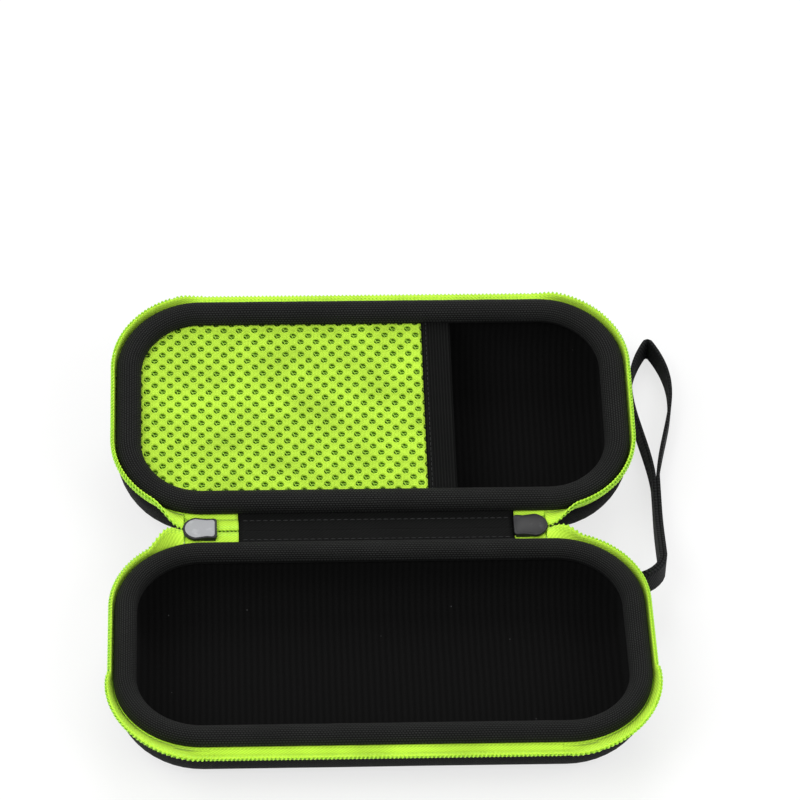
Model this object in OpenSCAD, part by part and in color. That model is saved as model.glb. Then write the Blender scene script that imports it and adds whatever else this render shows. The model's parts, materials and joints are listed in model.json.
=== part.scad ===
// Hard travel case for an electric shaver, laid open on its back.
// Two moulded foam shells covered in nylon are joined along the rear by a sewn ribbon,
// and a coil zip runs round the rest of the seam. The base lies in front, the lid behind it.
// Millimetres, +Z up, +X to the right, +Y from the base to the lid.
// The origin is on the surface that the case lies on, under the middle of its outer box.

/* [Shells] */
// Length of a shell along its seam
case_l = 198; // [176:1:240]
// Width of a shell along its seam
case_w = 96; // [80:1:120]
// Corner radius of the seam, seen from above
corner_r = 33; // [31:0.5:38]
// Depth of the base below its seam
base_d = 22.6; // [18:0.1:30]
// Depth of the lid below its seam
lid_d = 27; // [22:0.1:34]
// Reach of the base's rounded side over its floor
base_round = 22; // [14:0.5:27]
// Reach of the lid's rounded side over its top
lid_round = 29; // [20:0.5:30]
// Squareness of the rounded sides, where 1 is an ellipse
side_power = 0.8; // [0.6:0.05:1]
// Backward lean of the open lid
lid_tilt = 10; // [4:0.5:14]

/* [Walls] */
// Thickness of the nylon cover
cover_t = 0.8; // [0.5:0.1:1.2]
// Thickness of the foam at the floor
foam_t = 3.2; // [2:0.1:5]
// Thickness of the lining
lining_t = 0.6; // [0.4:0.1:1]
// Width of the foam's top edge, cover included
rim_wall = 7.6; // [6:0.1:9]

/* [Rim band] */
// Height of the padded rim band above the cover's edge
rim_h = 6.5; // [5:0.1:8]
// Width of the rim band
rim_w = 7.8; // [6:0.1:9]
// Step from the cover's face back to the rim band's face
rim_back = 1; // [0.8:0.1:1.6]

/* [Zip] */
// Height of the zip's middle above the cover's edge
mid_v = 6.8; // [6:0.1:8]
// Thickness of the zip tape
tape_t = 0.8; // [0.6:0.1:1]
// How far the tape's sewn edge reaches into the seam
tape_sewn = 4.2; // [3:0.1:5]
// Height at which the tape gives way to the coil
tape_top = 3.3; // [3:0.1:3.8]
// How far the coil's middle stands out from the cover when shut
coil_out = 1.9; // [1.8:0.1:2.4]
// Thickness of the coil
coil_t = 1.8; // [1.4:0.1:1.9]
// Length of one tooth of the coil
tooth = 1.5; // [1.2:0.1:3]
// Height of a tooth's point
tooth_h = 0.55; // [0.3:0.05:0.6]
// Slit left between the two coils
coil_slit = 0.42; // [0.36:0.02:0.6]
// Turn of the loose front tape between open and shut
flap_turn = 65; // [50:1:70]
// Place of the front tape's bend line, out from the cover
flap_out = 0.7; // [0.7:0.05:0.9]
// Half length of the straight front tape
flap_half = 64; // [50:1:66]
// Length over which the front tape turns up at a corner
flap_turnup = 18; // [12:1:20]

/* [Hinge] */
// Half length of the hinge ribbon
ribbon_half = 52; // [40:1:56]
// Thickness of the ribbon, and of the strip outside it
ribbon_t = 0.9; // [0.6:0.1:1.2]
// Length over which the rear tapes twist up to the corners
twist_l = 13; // [10:1:16]

/* [Sliders] */
// Length of a slider
slider_l = 12; // [10:0.5:14]
// Radius of a slider's round end
slider_r = 5.2; // [4.8:0.1:5.4]
// Thickness of a slider's plates
plate_t = 1.2; // [0.9:0.1:1.3]
// Clearance between the coil and a slider's plates
slider_gap = 0.3; // [0.3:0.05:0.4]
// Travel of a slider along the joined chain
slider_travel = 8.5; // [4:0.5:9]
// Radius of the pull's wire
wire_r = 0.6; // [0.5:0.05:0.8]
// Reach of the wire pull from its pivot
wire_l = 8; // [6:0.5:10]
// Width of the fabric pull tab
tab_w = 8.4; // [7:0.2:10]
// Length of the fabric pull tab
tab_l = 15; // [10:0.5:18]

/* [Pocket] */
// Left and right reach of the mesh: where its mouth lies, from the middle of the lid
mesh_end = 21; // [0:1:40]
// Width of the elastic band along the mouth
elastic_w = 10.4; // [8:0.2:14]
// Thickness of the mesh
mesh_t = 0.8; // [0.6:0.1:0.8]
// Spacing of the holes in the mesh
mesh_pitch = 7.6; // [7:0.1:10]
// Length of a hole in the mesh
hole_l = 4; // [2.5:0.1:5]
// Width of a hole in the mesh
hole_w = 3; // [2:0.1:4]

/* [Wrist strap] */
// Width of the strap's webbing
strap_w = 10; // [8:0.5:14]
// Thickness of the strap's webbing
strap_t = 1.3; // [1:0.1:1.8]
// Straight part of the strap
strap_run = 48; // [30:1:80]
// Length of the loop at the strap's end
loop_l = 76; // [50:1:100]
// Inside width of that loop
loop_w = 13; // [9:0.5:20]
// Reach of the sewn tab that carries the strap
anchor_l = 6.5; // [5:0.5:9]
// Direction of the tab, up from +X
anchor_dir = 30; // [20:1:45]

/* [Hidden] */
$fn = 64;
eps = 0.01;
curve_n = 12;
clear = 0.3;

lime = "#a6e22e";
nylon = "#24262a";
velvet = "#121314";

// Seam and link

// Height of the tape's middle in the seam
seam_v = tape_t / 2;
// A side's rounding stays inside the corner's radius
base_turn_in = min(base_round, corner_r - 4);
lid_turn_in = min(lid_round, corner_r - 4);
// The two hinge lines stand this far apart, along the link that the ribbon makes
link_w = 2 * (mid_v - seam_v);
// Hinge line of the base
a_y = case_w / 2 + coil_out;
a_z = base_d + seam_v;

// Points of a shell's side from the seam down, a depth in from its outer face.
// Each is the distance in from the seam's outline, then the height.
function side_curve(start, inset, depth) = [
    for (i = [0:curve_n]) let (t = 90 * i / curve_n) [
        start + (inset - start) * (1 - pow(cos(t), side_power)),
        -depth * pow(sin(t), side_power)
    ]
];

// Height of the lid's lowest point under its hinge line, once it leans back
lid_low = min([
    for (p = side_curve(0, lid_turn_in, lid_d))
        (p[0] + coil_out) * sin(lid_tilt) + (p[1] - seam_v) * cos(lid_tilt)
]);
b_z = -lid_low;
// Slope of the link when open, and the turns that shut the case
link_slope = asin((b_z - a_z) / link_w);
b_y = a_y + link_w * cos(link_slope);
link_turn = 90 - link_slope;
lid_turn = 180 - lid_tilt - link_turn;

// Zip tape's slope when shut, from the seam to the coil
tape_slope = atan2(tape_top - seam_v, coil_out);
tape_mitre = tape_t / 2 * tan(tape_slope / 2);
tape_tip = tape_t / 2 / sin(tape_slope);
coil_top = mid_v - coil_slit / 2;

// Corner's centre, and the length of the straight sides
corner_x = case_l / 2 - corner_r;
corner_y = case_w / 2 - corner_r;

// Sliders: where their outer ends lie at rest
left_nose = -(ribbon_half + slider_travel + clear + slider_l);
right_nose = ribbon_half + clear + slider_l;
bridge_back = slider_r - 1.6;
bridge_r = 1.3;

// Wrist strap: where it leaves the base, and the arc that takes it along the lid's side
strap_z = base_d - 2.6 - strap_w / 2;
// Half of the doubled strap's thickness, to the middle of a layer and to its face
strap_half = strap_t / 2 + 0.15;
strap_r = strap_half + strap_t / 2;
seam_point = [corner_x + corner_r * cos(anchor_dir), corner_y + corner_r * sin(anchor_dir)];
strap_pin = seam_point + (anchor_l + clear + strap_r) * [cos(anchor_dir), sin(anchor_dir)];
strap_heading = 88;
strap_bend = 14;
strap_rest_z = strap_w / 2 + 0.2;

// Outer box, for the origin
x_low = -case_l / 2 - coil_out - coil_t / 2;
arc_mid = strap_pin + strap_bend * [-sin(anchor_dir), cos(anchor_dir)];
arc_end = arc_mid + strap_bend * [sin(strap_heading), -cos(strap_heading)];
loop_far = arc_end + (strap_run + loop_l) * [cos(strap_heading), sin(strap_heading)];
x_high = loop_far[0] + loop_w / 2 + strap_t;

// Front tape at rest: the far corner of its coil, turned down about the bend line
function turn2(p, c, a) = [
    c[0] + (p[0] - c[0]) * cos(a) - (p[1] - c[1]) * sin(a),
    c[1] + (p[0] - c[0]) * sin(a) + (p[1] - c[1]) * cos(a)
];
bend = [flap_out, seam_v];
flap_far = turn2([coil_out + coil_t / 2, coil_top + tooth_h / 2], bend, -flap_turn);
y_low = -case_w / 2 - flap_far[0];
y_high = max(
    b_y + (coil_out + case_w + flap_far[0]) * cos(lid_tilt) - (flap_far[1] - seam_v) * sin(lid_tilt),
    loop_far[1] + strap_t / 2
);
shift = [-(x_low + x_high) / 2, -(y_low + y_high) / 2, 0];

echo(link_slope = link_slope, link_turn = link_turn, lid_turn = lid_turn, ratio = lid_turn / link_turn);
echo(axis_a = [a_y + shift[1], a_z], axis_b = [b_y + shift[1], b_z], shift = shift);
echo(strap_pin = strap_pin + [shift[0], shift[1]], noses = [left_nose + shift[0], right_nose + shift[0]]);

// Frames

// From a shell's own frame, with its seam at zero and its hinge side at +Y, to the base
module in_base() {
    translate(shift + [0, 0, base_d]) children();
}

// The same to the lid, whose hinge side faces the base
module in_lid() {
    translate(shift + [0, b_y, b_z])
        rotate([lid_tilt, 0, 0])
            translate([0, case_w / 2 + coil_out, -seam_v])
                mirror([0, 1, 0]) children();
}

// From the link's own frame, with the base's hinge line as its X axis, to the link
module in_link() {
    translate(shift + [0, a_y, a_z]) rotate([link_slope, 0, 0]) children();
}

// Sweeps round the seam

// A profile of distances in from the seam and heights, as an outline about a corner's axis
function about_corner(profile) = [for (p = profile) [corner_r - p[0], p[1]]];

module corner(profile, from = 0, to = 90) {
    translate([corner_x, corner_y, 0])
        rotate([0, 0, from])
            rotate_extrude(angle = to - from) polygon(about_corner(profile));
}

module end_side(profile) {
    translate([corner_x, 0, 0])
        rotate([90, 0, 0])
            linear_extrude(height = 2 * corner_y, center = true) polygon(about_corner(profile));
}

module long_side(profile, from = undef, to = undef) {
    x0 = is_undef(from) ? -corner_x : from;
    x1 = is_undef(to) ? corner_x : to;
    translate([x0, corner_y, 0])
        rotate([90, 0, 90])
            linear_extrude(height = x1 - x0) polygon(about_corner(profile));
}

module both_ends() {
    for (m = [0, 1]) mirror([m, 0, 0]) children();
}

module both_sides() {
    for (m = [0, 1]) mirror([0, m, 0]) children();
}

module ring(profile) {
    both_ends() end_side(profile);
    both_ends() both_sides() corner(profile);
    both_sides() long_side(profile);
}

// One layer of a moulded shell: the space between two side curves and their flat floors
module layer(outer, inner) {
    low = outer[curve_n][1];
    high = inner[curve_n][1];
    profile = concat(
        outer, [[corner_r, low], [corner_r, high]], [for (i = [curve_n:-1:0]) inner[i]]
    );
    ring(profile);
    translate([-corner_x, -corner_y, low])
        cube([2 * corner_x, 2 * corner_y, high - low]);
}

module cover_layer(round_in, depth) {
    layer(
        side_curve(0, round_in, depth),
        side_curve(cover_t, round_in, depth - cover_t)
    );
}

module foam_layer(round_in, depth) {
    layer(
        side_curve(cover_t, round_in, depth - cover_t),
        side_curve(rim_wall, round_in, depth - cover_t - foam_t)
    );
}

module lining_layer(round_in, depth) {
    layer(
        side_curve(rim_wall, round_in, depth - cover_t - foam_t),
        side_curve(rim_wall + lining_t, round_in, depth - cover_t - foam_t - lining_t)
    );
}

// Padded rim band, flat below and crowned above, sewn down on the tape
rim_low = 1.4;
rim_profile = concat(
    [[rim_back, tape_t]],
    [
        for (i = [0:10]) let (t = 180 * i / 10) [
            rim_back + rim_w / 2 * (1 - cos(t)),
            rim_low + (rim_h - rim_low) * pow(sin(t), 0.7)
        ]
    ],
    [[rim_back + rim_w, tape_t]]
);

module rim_band() {
    ring(rim_profile);
    // Along the hinge the band's edge goes down to the cover, where no tape is sewn in
    long_side([[rim_back, 0], [rim_back, tape_t + eps], [rim_back + 3, tape_t + eps], [rim_back + 3, 0]],
        -ribbon_half, ribbon_half);
}

// Zip

sewn_edge = [[0, 0], [0, tape_t], [tape_sewn, tape_t], [tape_sewn, 0]];
flared_tape = [
    [0, 0], [-tape_mitre, 0], [-coil_out - tape_tip, tape_top], [-coil_out + tape_tip, tape_top],
    [0, tape_t + tape_mitre]
];
flared_coil = [
    [-coil_out - coil_t / 2, tape_top], [-coil_out - coil_t / 2, coil_top - tooth_h / 2],
    [-coil_out + coil_t / 2, coil_top - tooth_h / 2], [-coil_out + coil_t / 2, tape_top]
];

// Share of a corner that the moving front tape takes, and the rear tapes at either end
front_angle = asin((flap_half + flap_turnup - corner_x) / corner_r);
function rear_start(side) = side < 0 ? -left_nose + clear : right_nose + clear;
function rear_angle(side) = asin((rear_start(side) + twist_l - corner_x) / corner_r);

// The tape's sewn edge goes all round but for the hinge; its rigid flare covers the ends
module fixed_zip(profile) {
    for (side = [-1, 1]) {
        mirror([side < 0 ? 1 : 0, 0, 0]) {
            end_side(profile);
            corner(profile, 0, 90 - max(0, rear_angle(side)));
            mirror([0, 1, 0]) corner(profile, 0, 90 - max(0, front_angle));
            if (rear_angle(side) < 0) long_side(profile, rear_start(side) + twist_l, corner_x);
            if (front_angle < 0)
                mirror([0, 1, 0]) long_side(profile, flap_half + flap_turnup, corner_x);
        }
    }
}

module fixed_tape() {
    both_ends() {
        end_side(sewn_edge);
        both_sides() corner(sewn_edge);
        long_side(sewn_edge, ribbon_half + clear, corner_x);
    }
    mirror([0, 1, 0]) long_side(sewn_edge);
    fixed_zip(flared_tape);
}

module fixed_coil() {
    fixed_zip(flared_coil);
}

// A strip of coil lying flat: its teeth point to +Y along a zigzag that starts at a phase
module toothed_strip(x0, x1, y0, y1, phase) {
    n = floor((x1 - x0) / (tooth / 2));
    rise = function (x) tooth_h * (abs((x / tooth + phase) - floor(x / tooth + phase) - 0.5) * 2 - 0.5);
    turns = [for (k = [0:2 * ceil((x1 - x0) / tooth) + 2])
        let (x = (floor(2 * x0 / tooth) + 1 + k) * tooth / 2) if (x < x1 - eps && x > x0 + eps) x];
    translate([0, 0, -coil_t / 2])
        linear_extrude(height = coil_t)
            polygon(concat(
                [[x0, y0], [x0, y1 + rise(x0)]],
                [for (x = turns) [x, y1 + rise(x)]],
                [[x1, y1 + rise(x1)], [x1, y0]]
            ));
}

// The loose front tape lies out and down when open, and turns up about its bend line to shut
module on_front_bend() {
    translate([0, -case_w / 2 - flap_out, seam_v]) rotate([flap_turn, 0, 0]) children();
}

module front_tape() {
    reach = norm([coil_out - flap_out, tape_top - seam_v]);
    on_front_bend()
        rotate([90, 0, 90])
            linear_extrude(height = 2 * flap_half, center = true) {
                circle(r = tape_t / 2);
                rotate(90 + atan2(coil_out - flap_out, tape_top - seam_v))
                    translate([0, -tape_t / 2]) square([reach - tape_t / 4, tape_t]);
            }
}

module front_coil(phase) {
    on_front_bend()
        translate([0, -(coil_out - flap_out), tape_top - seam_v])
            rotate([90, 0, 0])
                toothed_strip(-flap_half, flap_half, 0.15, coil_top - tape_top, phase);
}

// Corner tapes change their slope along the seam, so they are ruled strips of four-cornered rings

// A point of the rear seam, and the direction out from it, at a distance along X
function seam_at(x) =
    let (a = abs(x) <= corner_x ? 0 : asin((abs(x) - corner_x) / corner_r), s = sign(x))
    [[x, corner_y + corner_r * cos(a)], [s * sin(a), cos(a)]];
function ease(t) = t * t * (3 - 2 * t);

module ruled(rings) {
    n = len(rings);
    m = len(rings[0]);
    polyhedron(
        points = [for (r = rings) each r],
        faces = concat(
            [[for (j = [m - 1:-1:0]) j]],
            [for (i = [0:n - 2], j = [0:m - 1], h = [0, 1]) let (k = (j + 1) % m)
                h == 0 ? [i * m + j, i * m + k, (i + 1) * m + k]
                       : [i * m + j, (i + 1) * m + k, (i + 1) * m + j]],
            [[for (j = [0:m - 1]) (n - 1) * m + j]]
        ),
        convexity = 6
    );
}

// Rings along the seam from one X to another. Each section is given as distances out and
// heights, turned about a pivot by an angle that eases from full to none.
function twisted(x0, x1, section, pivot, angle, pinned = 0, steps = 14) = [
    for (i = [0:steps]) let (
        t = i / steps,
        x = x0 + (x1 - x0) * t,
        s = seam_at(x),
        a = angle * (1 - ease(t))
    ) [for (j = [0:len(section) - 1]) let (p = j < pinned ? section[j] : turn2(section[j], pivot, a))
        [s[0][0] + s[1][0] * p[0], s[0][1] + s[1][1] * p[0], p[1]]]
];
tape_section = [
    [0.02, 0.02], [0.02, tape_t - 0.02], [coil_out - tape_tip, tape_top - 0.05],
    [coil_out + tape_tip, tape_top - 0.05]
];
coil_section = [
    [coil_out - coil_t / 2, tape_top + 0.05], [coil_out - coil_t / 2, coil_top - tooth_h / 2],
    [coil_out + coil_t / 2, coil_top - tooth_h / 2], [coil_out + coil_t / 2, tape_top + 0.05]
];

module corner_strips(section, pinned, slope) {
    for (side = [-1, 1]) {
        mirror([side < 0 ? 1 : 0, 0, 0]) {
            mirror([0, 1, 0])
                ruled(twisted(flap_half + clear, flap_half + flap_turnup - clear, section, bend,
                    -flap_turn, pinned));
            ruled(twisted(rear_start(side), rear_start(side) + twist_l - clear, section,
                [coil_out, seam_v], -(90 - slope), pinned));
        }
    }
}

module corner_tapes(slope) {
    corner_strips(tape_section, 2, slope);
}

module corner_coils(slope) {
    corner_strips(coil_section, 0, slope);
}

// Hinge link

module link_slab(x0, x1, y0, y1, z0, z1) {
    translate([x0, y0, z0]) cube([x1 - x0, y1 - y0, z1 - z0]);
}

// Both halves of the zip's ends lie flat in the link: runs of it from the ribbon to a slider
function stub_runs() = [
    [left_nose, -ribbon_half - clear, left_nose + bridge_back + bridge_r + clear],
    [ribbon_half + clear, right_nose, right_nose - bridge_back - bridge_r - clear]
];

module stub_tape_pieces() {
    for (run = stub_runs(), half = [0, 1])
        translate([0, half * link_w, 0]) mirror([0, half, 0])
            link_slab(run[0], run[1], clear, tape_top - seam_v, -tape_t / 2, tape_t / 2);
}

module stub_coil_pieces() {
    y0 = tape_top - seam_v + eps;
    y1 = link_w / 2 - coil_slit / 2;
    for (half = [0, 1])
        translate([0, half * link_w, 0]) mirror([0, half, 0]) {
            toothed_strip(stub_runs()[0][2], stub_runs()[0][1], y0, y1, half / 2);
            toothed_strip(stub_runs()[1][0], stub_runs()[1][2], y0, y1, half / 2);
        }
}

// Sliders and pulls, in the link's frame, with the nose to -X

plate_z = coil_t / 2 + slider_gap;
flange_in = link_w / 2 - (tape_top - seam_v) + 0.35;
flange_t = 0.8;
bail_h = 2.6;
pivot_z = -(plate_z + plate_t + 1.35);
pivot_x = slider_r + 1.2;

module slider_outline() {
    translate([slider_r, 0]) circle(r = slider_r);
    translate([slider_r, -flange_in - flange_t]) square([slider_l - slider_r, 2 * (flange_in + flange_t)]);
}

module slider_body() {
    difference() {
        union() {
            for (z = [plate_z, -plate_z - plate_t])
                translate([0, 0, z]) linear_extrude(height = plate_t) slider_outline();
            translate([bridge_back, 0, -plate_z - eps]) cylinder(r = bridge_r, h = 2 * plate_z + 2 * eps);
            for (s = [-1, 1], z = [-1, 1])
                translate([slider_r, s > 0 ? flange_in : -flange_in - flange_t, z > 0 ? 0.75 : -plate_z - eps])
                    cube([slider_l - slider_r, flange_t, plate_z + eps - 0.75]);
            // Bail that carries the pull, on the outer plate
            translate([pivot_x, 0, 0]) rotate([90, 0, 0])
                linear_extrude(height = 2, center = true)
                    polygon([[-3.4, -plate_z - plate_t + eps], [-2.2, pivot_z - bail_h / 2],
                        [2.2, pivot_z - bail_h / 2], [3.4, -plate_z - plate_t + eps]]);
        }
        translate([pivot_x, 0, pivot_z]) rotate([90, 0, 0]) cylinder(r = wire_r + 0.3, h = 6, center = true);
    }
}

module wire_bar(from, to) {
    d = to - from;
    translate(from) rotate([0, acos(d[2] / norm(d)), atan2(d[1], d[0])]) cylinder(r = wire_r, h = norm(d));
}

wire_half = 2.5;
module pull_wire() {
    translate([pivot_x, 0, pivot_z]) {
        wire_bar([0, -wire_half, 0], [0, wire_half, 0]);
        wire_bar([wire_l, -wire_half, 0], [wire_l, wire_half, 0]);
        for (s = [-1, 1]) {
            wire_bar([0, s * wire_half, 0], [wire_l, s * wire_half, 0]);
            for (x = [0, wire_l]) translate([x, s * wire_half, 0]) sphere(r = wire_r);
        }
    }
}

// Webbing folded over the wire: a round fold, then two layers sewn flat
module pull_tab() {
    fold = wire_r + 0.25;
    t = 1;
    translate([pivot_x + wire_l, 0, pivot_z])
        rotate([90, 0, 0]) {
            difference() {
                linear_extrude(height = tab_w, center = true)
                    difference() {
                        union() {
                            circle(r = fold + t);
                            translate([0, -fold - t]) square([fold + 1, 2 * (fold + t)]);
                            translate([fold + 1 - eps, -t]) square([tab_l - fold - 1, 2 * t]);
                        }
                        circle(r = fold);
                    }
                for (s = [-1, 1]) translate([-fold - t - 1, -fold - t - 1, s > 0 ? wire_half - wire_r - 0.3 : -tab_w])
                    cube([fold + t + 1 + wire_r + 0.4, 2 * (fold + t + 1), tab_w - wire_half + wire_r + 0.3]);
            }
        }
}

module left_place() {
    in_link() translate([left_nose, link_w / 2, 0]) children();
}

module right_place() {
    in_link() translate([right_nose, link_w / 2, 0]) mirror([1, 0, 0]) children();
}

// Pocket in the lid

pocket_seat = 6.6;
module pocket_outline(x1) {
    intersection() {
        union() {
            square([2 * corner_x, case_w - 2 * pocket_seat], center = true);
            square([case_l - 2 * pocket_seat, 2 * corner_y], center = true);
            for (sx = [-1, 1], sy = [-1, 1])
                translate([sx * corner_x, sy * corner_y]) circle(r = corner_r - pocket_seat);
        }
        translate([-case_l, -case_w]) square([case_l + x1, 2 * case_w]);
    }
}

// Open net: staggered six-sided holes over the panel, clear of its sewn edge
module pocket_net() {
    edge = pocket_seat + 4;
    r = corner_r - edge;
    cols = floor((case_l / 2 + mesh_end) / mesh_pitch * 2);
    rows = ceil(case_w / mesh_pitch / 2);
    holes = [for (i = [0:cols], j = [-rows:rows]) let (
            x = -case_l / 2 + edge + hole_l / 2 + i * mesh_pitch / 2,
            y = (j + (i % 2) / 2) * mesh_pitch,
            ax = max(0, -x - corner_x) + hole_l / 2,
            ay = max(0, abs(y) - corner_y) + hole_w / 2)
        if (x < mesh_end - hole_l / 2 - 2 && abs(y) < case_w / 2 - edge
            && (-x < corner_x - hole_l / 2 ? ay < r : norm([ax, ay]) < r)) [x, y]];
    linear_extrude(height = mesh_t)
        difference() {
            pocket_outline(mesh_end);
            for (h = holes) translate(h) polygon([
                [-hole_l / 2, 0], [-hole_l / 4, -hole_w / 2], [hole_l / 4, -hole_w / 2],
                [hole_l / 2, 0], [hole_l / 4, hole_w / 2], [-hole_l / 4, hole_w / 2]
            ]);
        }
}

module elastic_band() {
    half = case_w / 2;
    translate([mesh_end, -half + pocket_seat, 0]) cube([elastic_w, 2 * (half - pocket_seat), mesh_t]);
    translate([mesh_end, -half + rim_back + rim_w + clear, -0.6])
        cube([elastic_w, 2 * (half - rim_back - rim_w - clear), 0.6 + eps]);
}

// Wrist strap

// The strap's middle line seen from above: a bend, a straight run, then out of it the loop
function strap_line(s) =
    let (bend_l = strap_bend * (strap_heading - anchor_dir) * PI / 180)
    s < bend_l
        ? let (a = anchor_dir + s / strap_bend * 180 / PI)
          [arc_mid + strap_bend * [sin(a), -cos(a)], a]
        : [arc_end + (s - bend_l) * [cos(strap_heading), sin(strap_heading)], strap_heading];
strap_bend_l = strap_bend * (strap_heading - anchor_dir) * PI / 180;
strap_total = strap_bend_l + strap_run + loop_l;

// Distance of a layer's middle from that line: side by side, then a pear-shaped loop
function loop_off(s) =
    let (t = max(0, (s - strap_bend_l - strap_run) / (loop_l - strap_t / 2)))
    strap_half + (loop_w + strap_t) / 2 * pow(sin(min(180, 180 * pow(t, 1.6))), 0.9)
        * (t < 1 ? 1 : 0) - (t >= 1 ? strap_half : 0) * 1;
function strap_height(s) =
    strap_rest_z + (strap_z - strap_rest_z) * (1 - ease(min(1, s / 46)));

// One layer's point, for the left (-1) or right (1) side of the line
function layer_point(s, side) =
    let (p = strap_line(s), o = side * loop_off(s))
    [p[0][0] + o * sin(p[1]), p[0][1] - o * cos(p[1]), strap_height(s)];

module wrist_strap_band() {
    n = 34;
    out = [for (i = [0:n]) 0.2 + (strap_total - 0.2) * (1 - pow(1 - i / n, 1.35))];
    line = concat(
        [for (s = out) layer_point(s, 1)],
        [for (i = [n - 1:-1:0]) layer_point(out[i], -1)]
    );
    m = len(line);
    rings = [for (i = [0:m - 1]) let (
            d = line[min(m - 1, i + 1)] - line[max(0, i - 1)],
            h = norm([d[0], d[1]]),
            nx = [d[1] / h, -d[0] / h] * strap_t / 2,
            p = line[i])
        [[p[0] - nx[0], p[1] - nx[1], p[2] - strap_w / 2], [p[0] + nx[0], p[1] + nx[1], p[2] - strap_w / 2],
         [p[0] + nx[0], p[1] + nx[1], p[2] + strap_w / 2], [p[0] - nx[0], p[1] - nx[1], p[2] + strap_w / 2]]];
    translate(shift) {
        ruled(rings);
        translate([strap_pin[0], strap_pin[1], strap_z - strap_w / 2 + 0.05])
            cylinder(r = strap_r - 0.05, h = strap_w - 0.1);
    }
}

// Folded tab of webbing sewn to the cover, trimmed to its curve
module anchor_tab() {
    difference() {
        translate([seam_point[0], seam_point[1], strap_z - base_d - strap_w / 2])
            rotate([0, 0, anchor_dir])
                translate([-4, -strap_half - strap_t / 2, 0])
                    cube([4 + anchor_l, 2 * strap_half + strap_t, strap_w]);
        outer = side_curve(0, base_turn_in, base_d);
        corner(concat(outer, [[corner_r, -base_d], [corner_r, 2], [0, 2]]));
    }
}

module base_cover() { color(nylon) in_base() cover_layer(base_turn_in, base_d); }
module base_foam() { color("#3a3c40") in_base() foam_layer(base_turn_in, base_d); }
module base_lining() { color(velvet) in_base() lining_layer(base_turn_in, base_d); }
module base_rim_band() { color(nylon) in_base() rim_band(); }
module base_tape() { color(lime) in_base() fixed_tape(); }
module base_coil() { color(lime) in_base() fixed_coil(); }
module base_front_tape() { color(lime) in_base() front_tape(); }
module base_front_coil() { color(lime) in_base() front_coil(0); }
module base_corner_tapes() { color(lime) in_base() corner_tapes(link_slope); }
module base_corner_coils() { color(lime) in_base() corner_coils(link_slope); }
module strap_tab() { color(nylon) in_base() anchor_tab(); }
module wrist_strap() { color(nylon) wrist_strap_band(); }

module lid_cover() { color(nylon) in_lid() cover_layer(lid_turn_in, lid_d); }
module lid_foam() { color("#3a3c40") in_lid() foam_layer(lid_turn_in, lid_d); }
module lid_lining() { color(velvet) in_lid() lining_layer(lid_turn_in, lid_d); }
module lid_rim_band() { color(nylon) in_lid() rim_band(); }
module lid_tape() { color(lime) in_lid() fixed_tape(); }
module lid_coil() { color(lime) in_lid() fixed_coil(); }
module lid_front_tape() { color(lime) in_lid() front_tape(); }
module lid_front_coil() { color(lime) in_lid() front_coil(0.5); }
module lid_corner_tapes() { color(lime) in_lid() corner_tapes(90 - lid_turn); }
module lid_corner_coils() { color(lime) in_lid() corner_coils(90 - lid_turn); }
module mesh_pocket() { color(lime) in_lid() pocket_net(); }
module pocket_elastic() { color(nylon) in_lid() elastic_band(); }

module hinge_ribbon() {
    color(nylon) in_link() link_slab(-ribbon_half, ribbon_half, clear, link_w - clear, 0, ribbon_t);
}
module hinge_strip() {
    color(nylon) in_link() link_slab(-ribbon_half, ribbon_half, clear, link_w - clear, -ribbon_t, 0);
}
module stub_tapes() { color(lime) in_link() stub_tape_pieces(); }
module stub_coils() { color(lime) in_link() stub_coil_pieces(); }
module slider_left() { color("silver") left_place() slider_body(); }
module slider_right() { color("silver") right_place() slider_body(); }
module pull_wire_left() { color(nylon) left_place() pull_wire(); }
module pull_wire_right() { color(nylon) right_place() pull_wire(); }
module pull_tab_left() { color(nylon) left_place() pull_tab(); }
module pull_tab_right() { color(nylon) right_place() pull_tab(); }

base_cover();
base_foam();
base_lining();
base_rim_band();
base_tape();
base_coil();
base_front_tape();
base_front_coil();
base_corner_tapes();
base_corner_coils();
strap_tab();
wrist_strap();
lid_cover();
lid_foam();
lid_lining();
lid_rim_band();
lid_tape();
lid_coil();
lid_front_tape();
lid_front_coil();
lid_corner_tapes();
lid_corner_coils();
mesh_pocket();
pocket_elastic();
hinge_ribbon();
hinge_strip();
stub_tapes();
stub_coils();
slider_left();
slider_right();
pull_wire_left();
pull_wire_right();
pull_tab_left();
pull_tab_right();
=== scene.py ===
"""An electric shaver's hard case, lying open on a pale table.

Lengths of the case are written in millimetres, as its maker would, and turned to metres
where a mesh is made. A shell's own frame has its seam at height zero and its hinge side
at +Y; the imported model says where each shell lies.
"""

import json
import logging
import math
from collections.abc import Callable, Sequence
from dataclasses import dataclass, field
from enum import Enum

import bmesh
import bpy
import numpy as np
from mathutils import Matrix, Vector, noise

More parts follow.
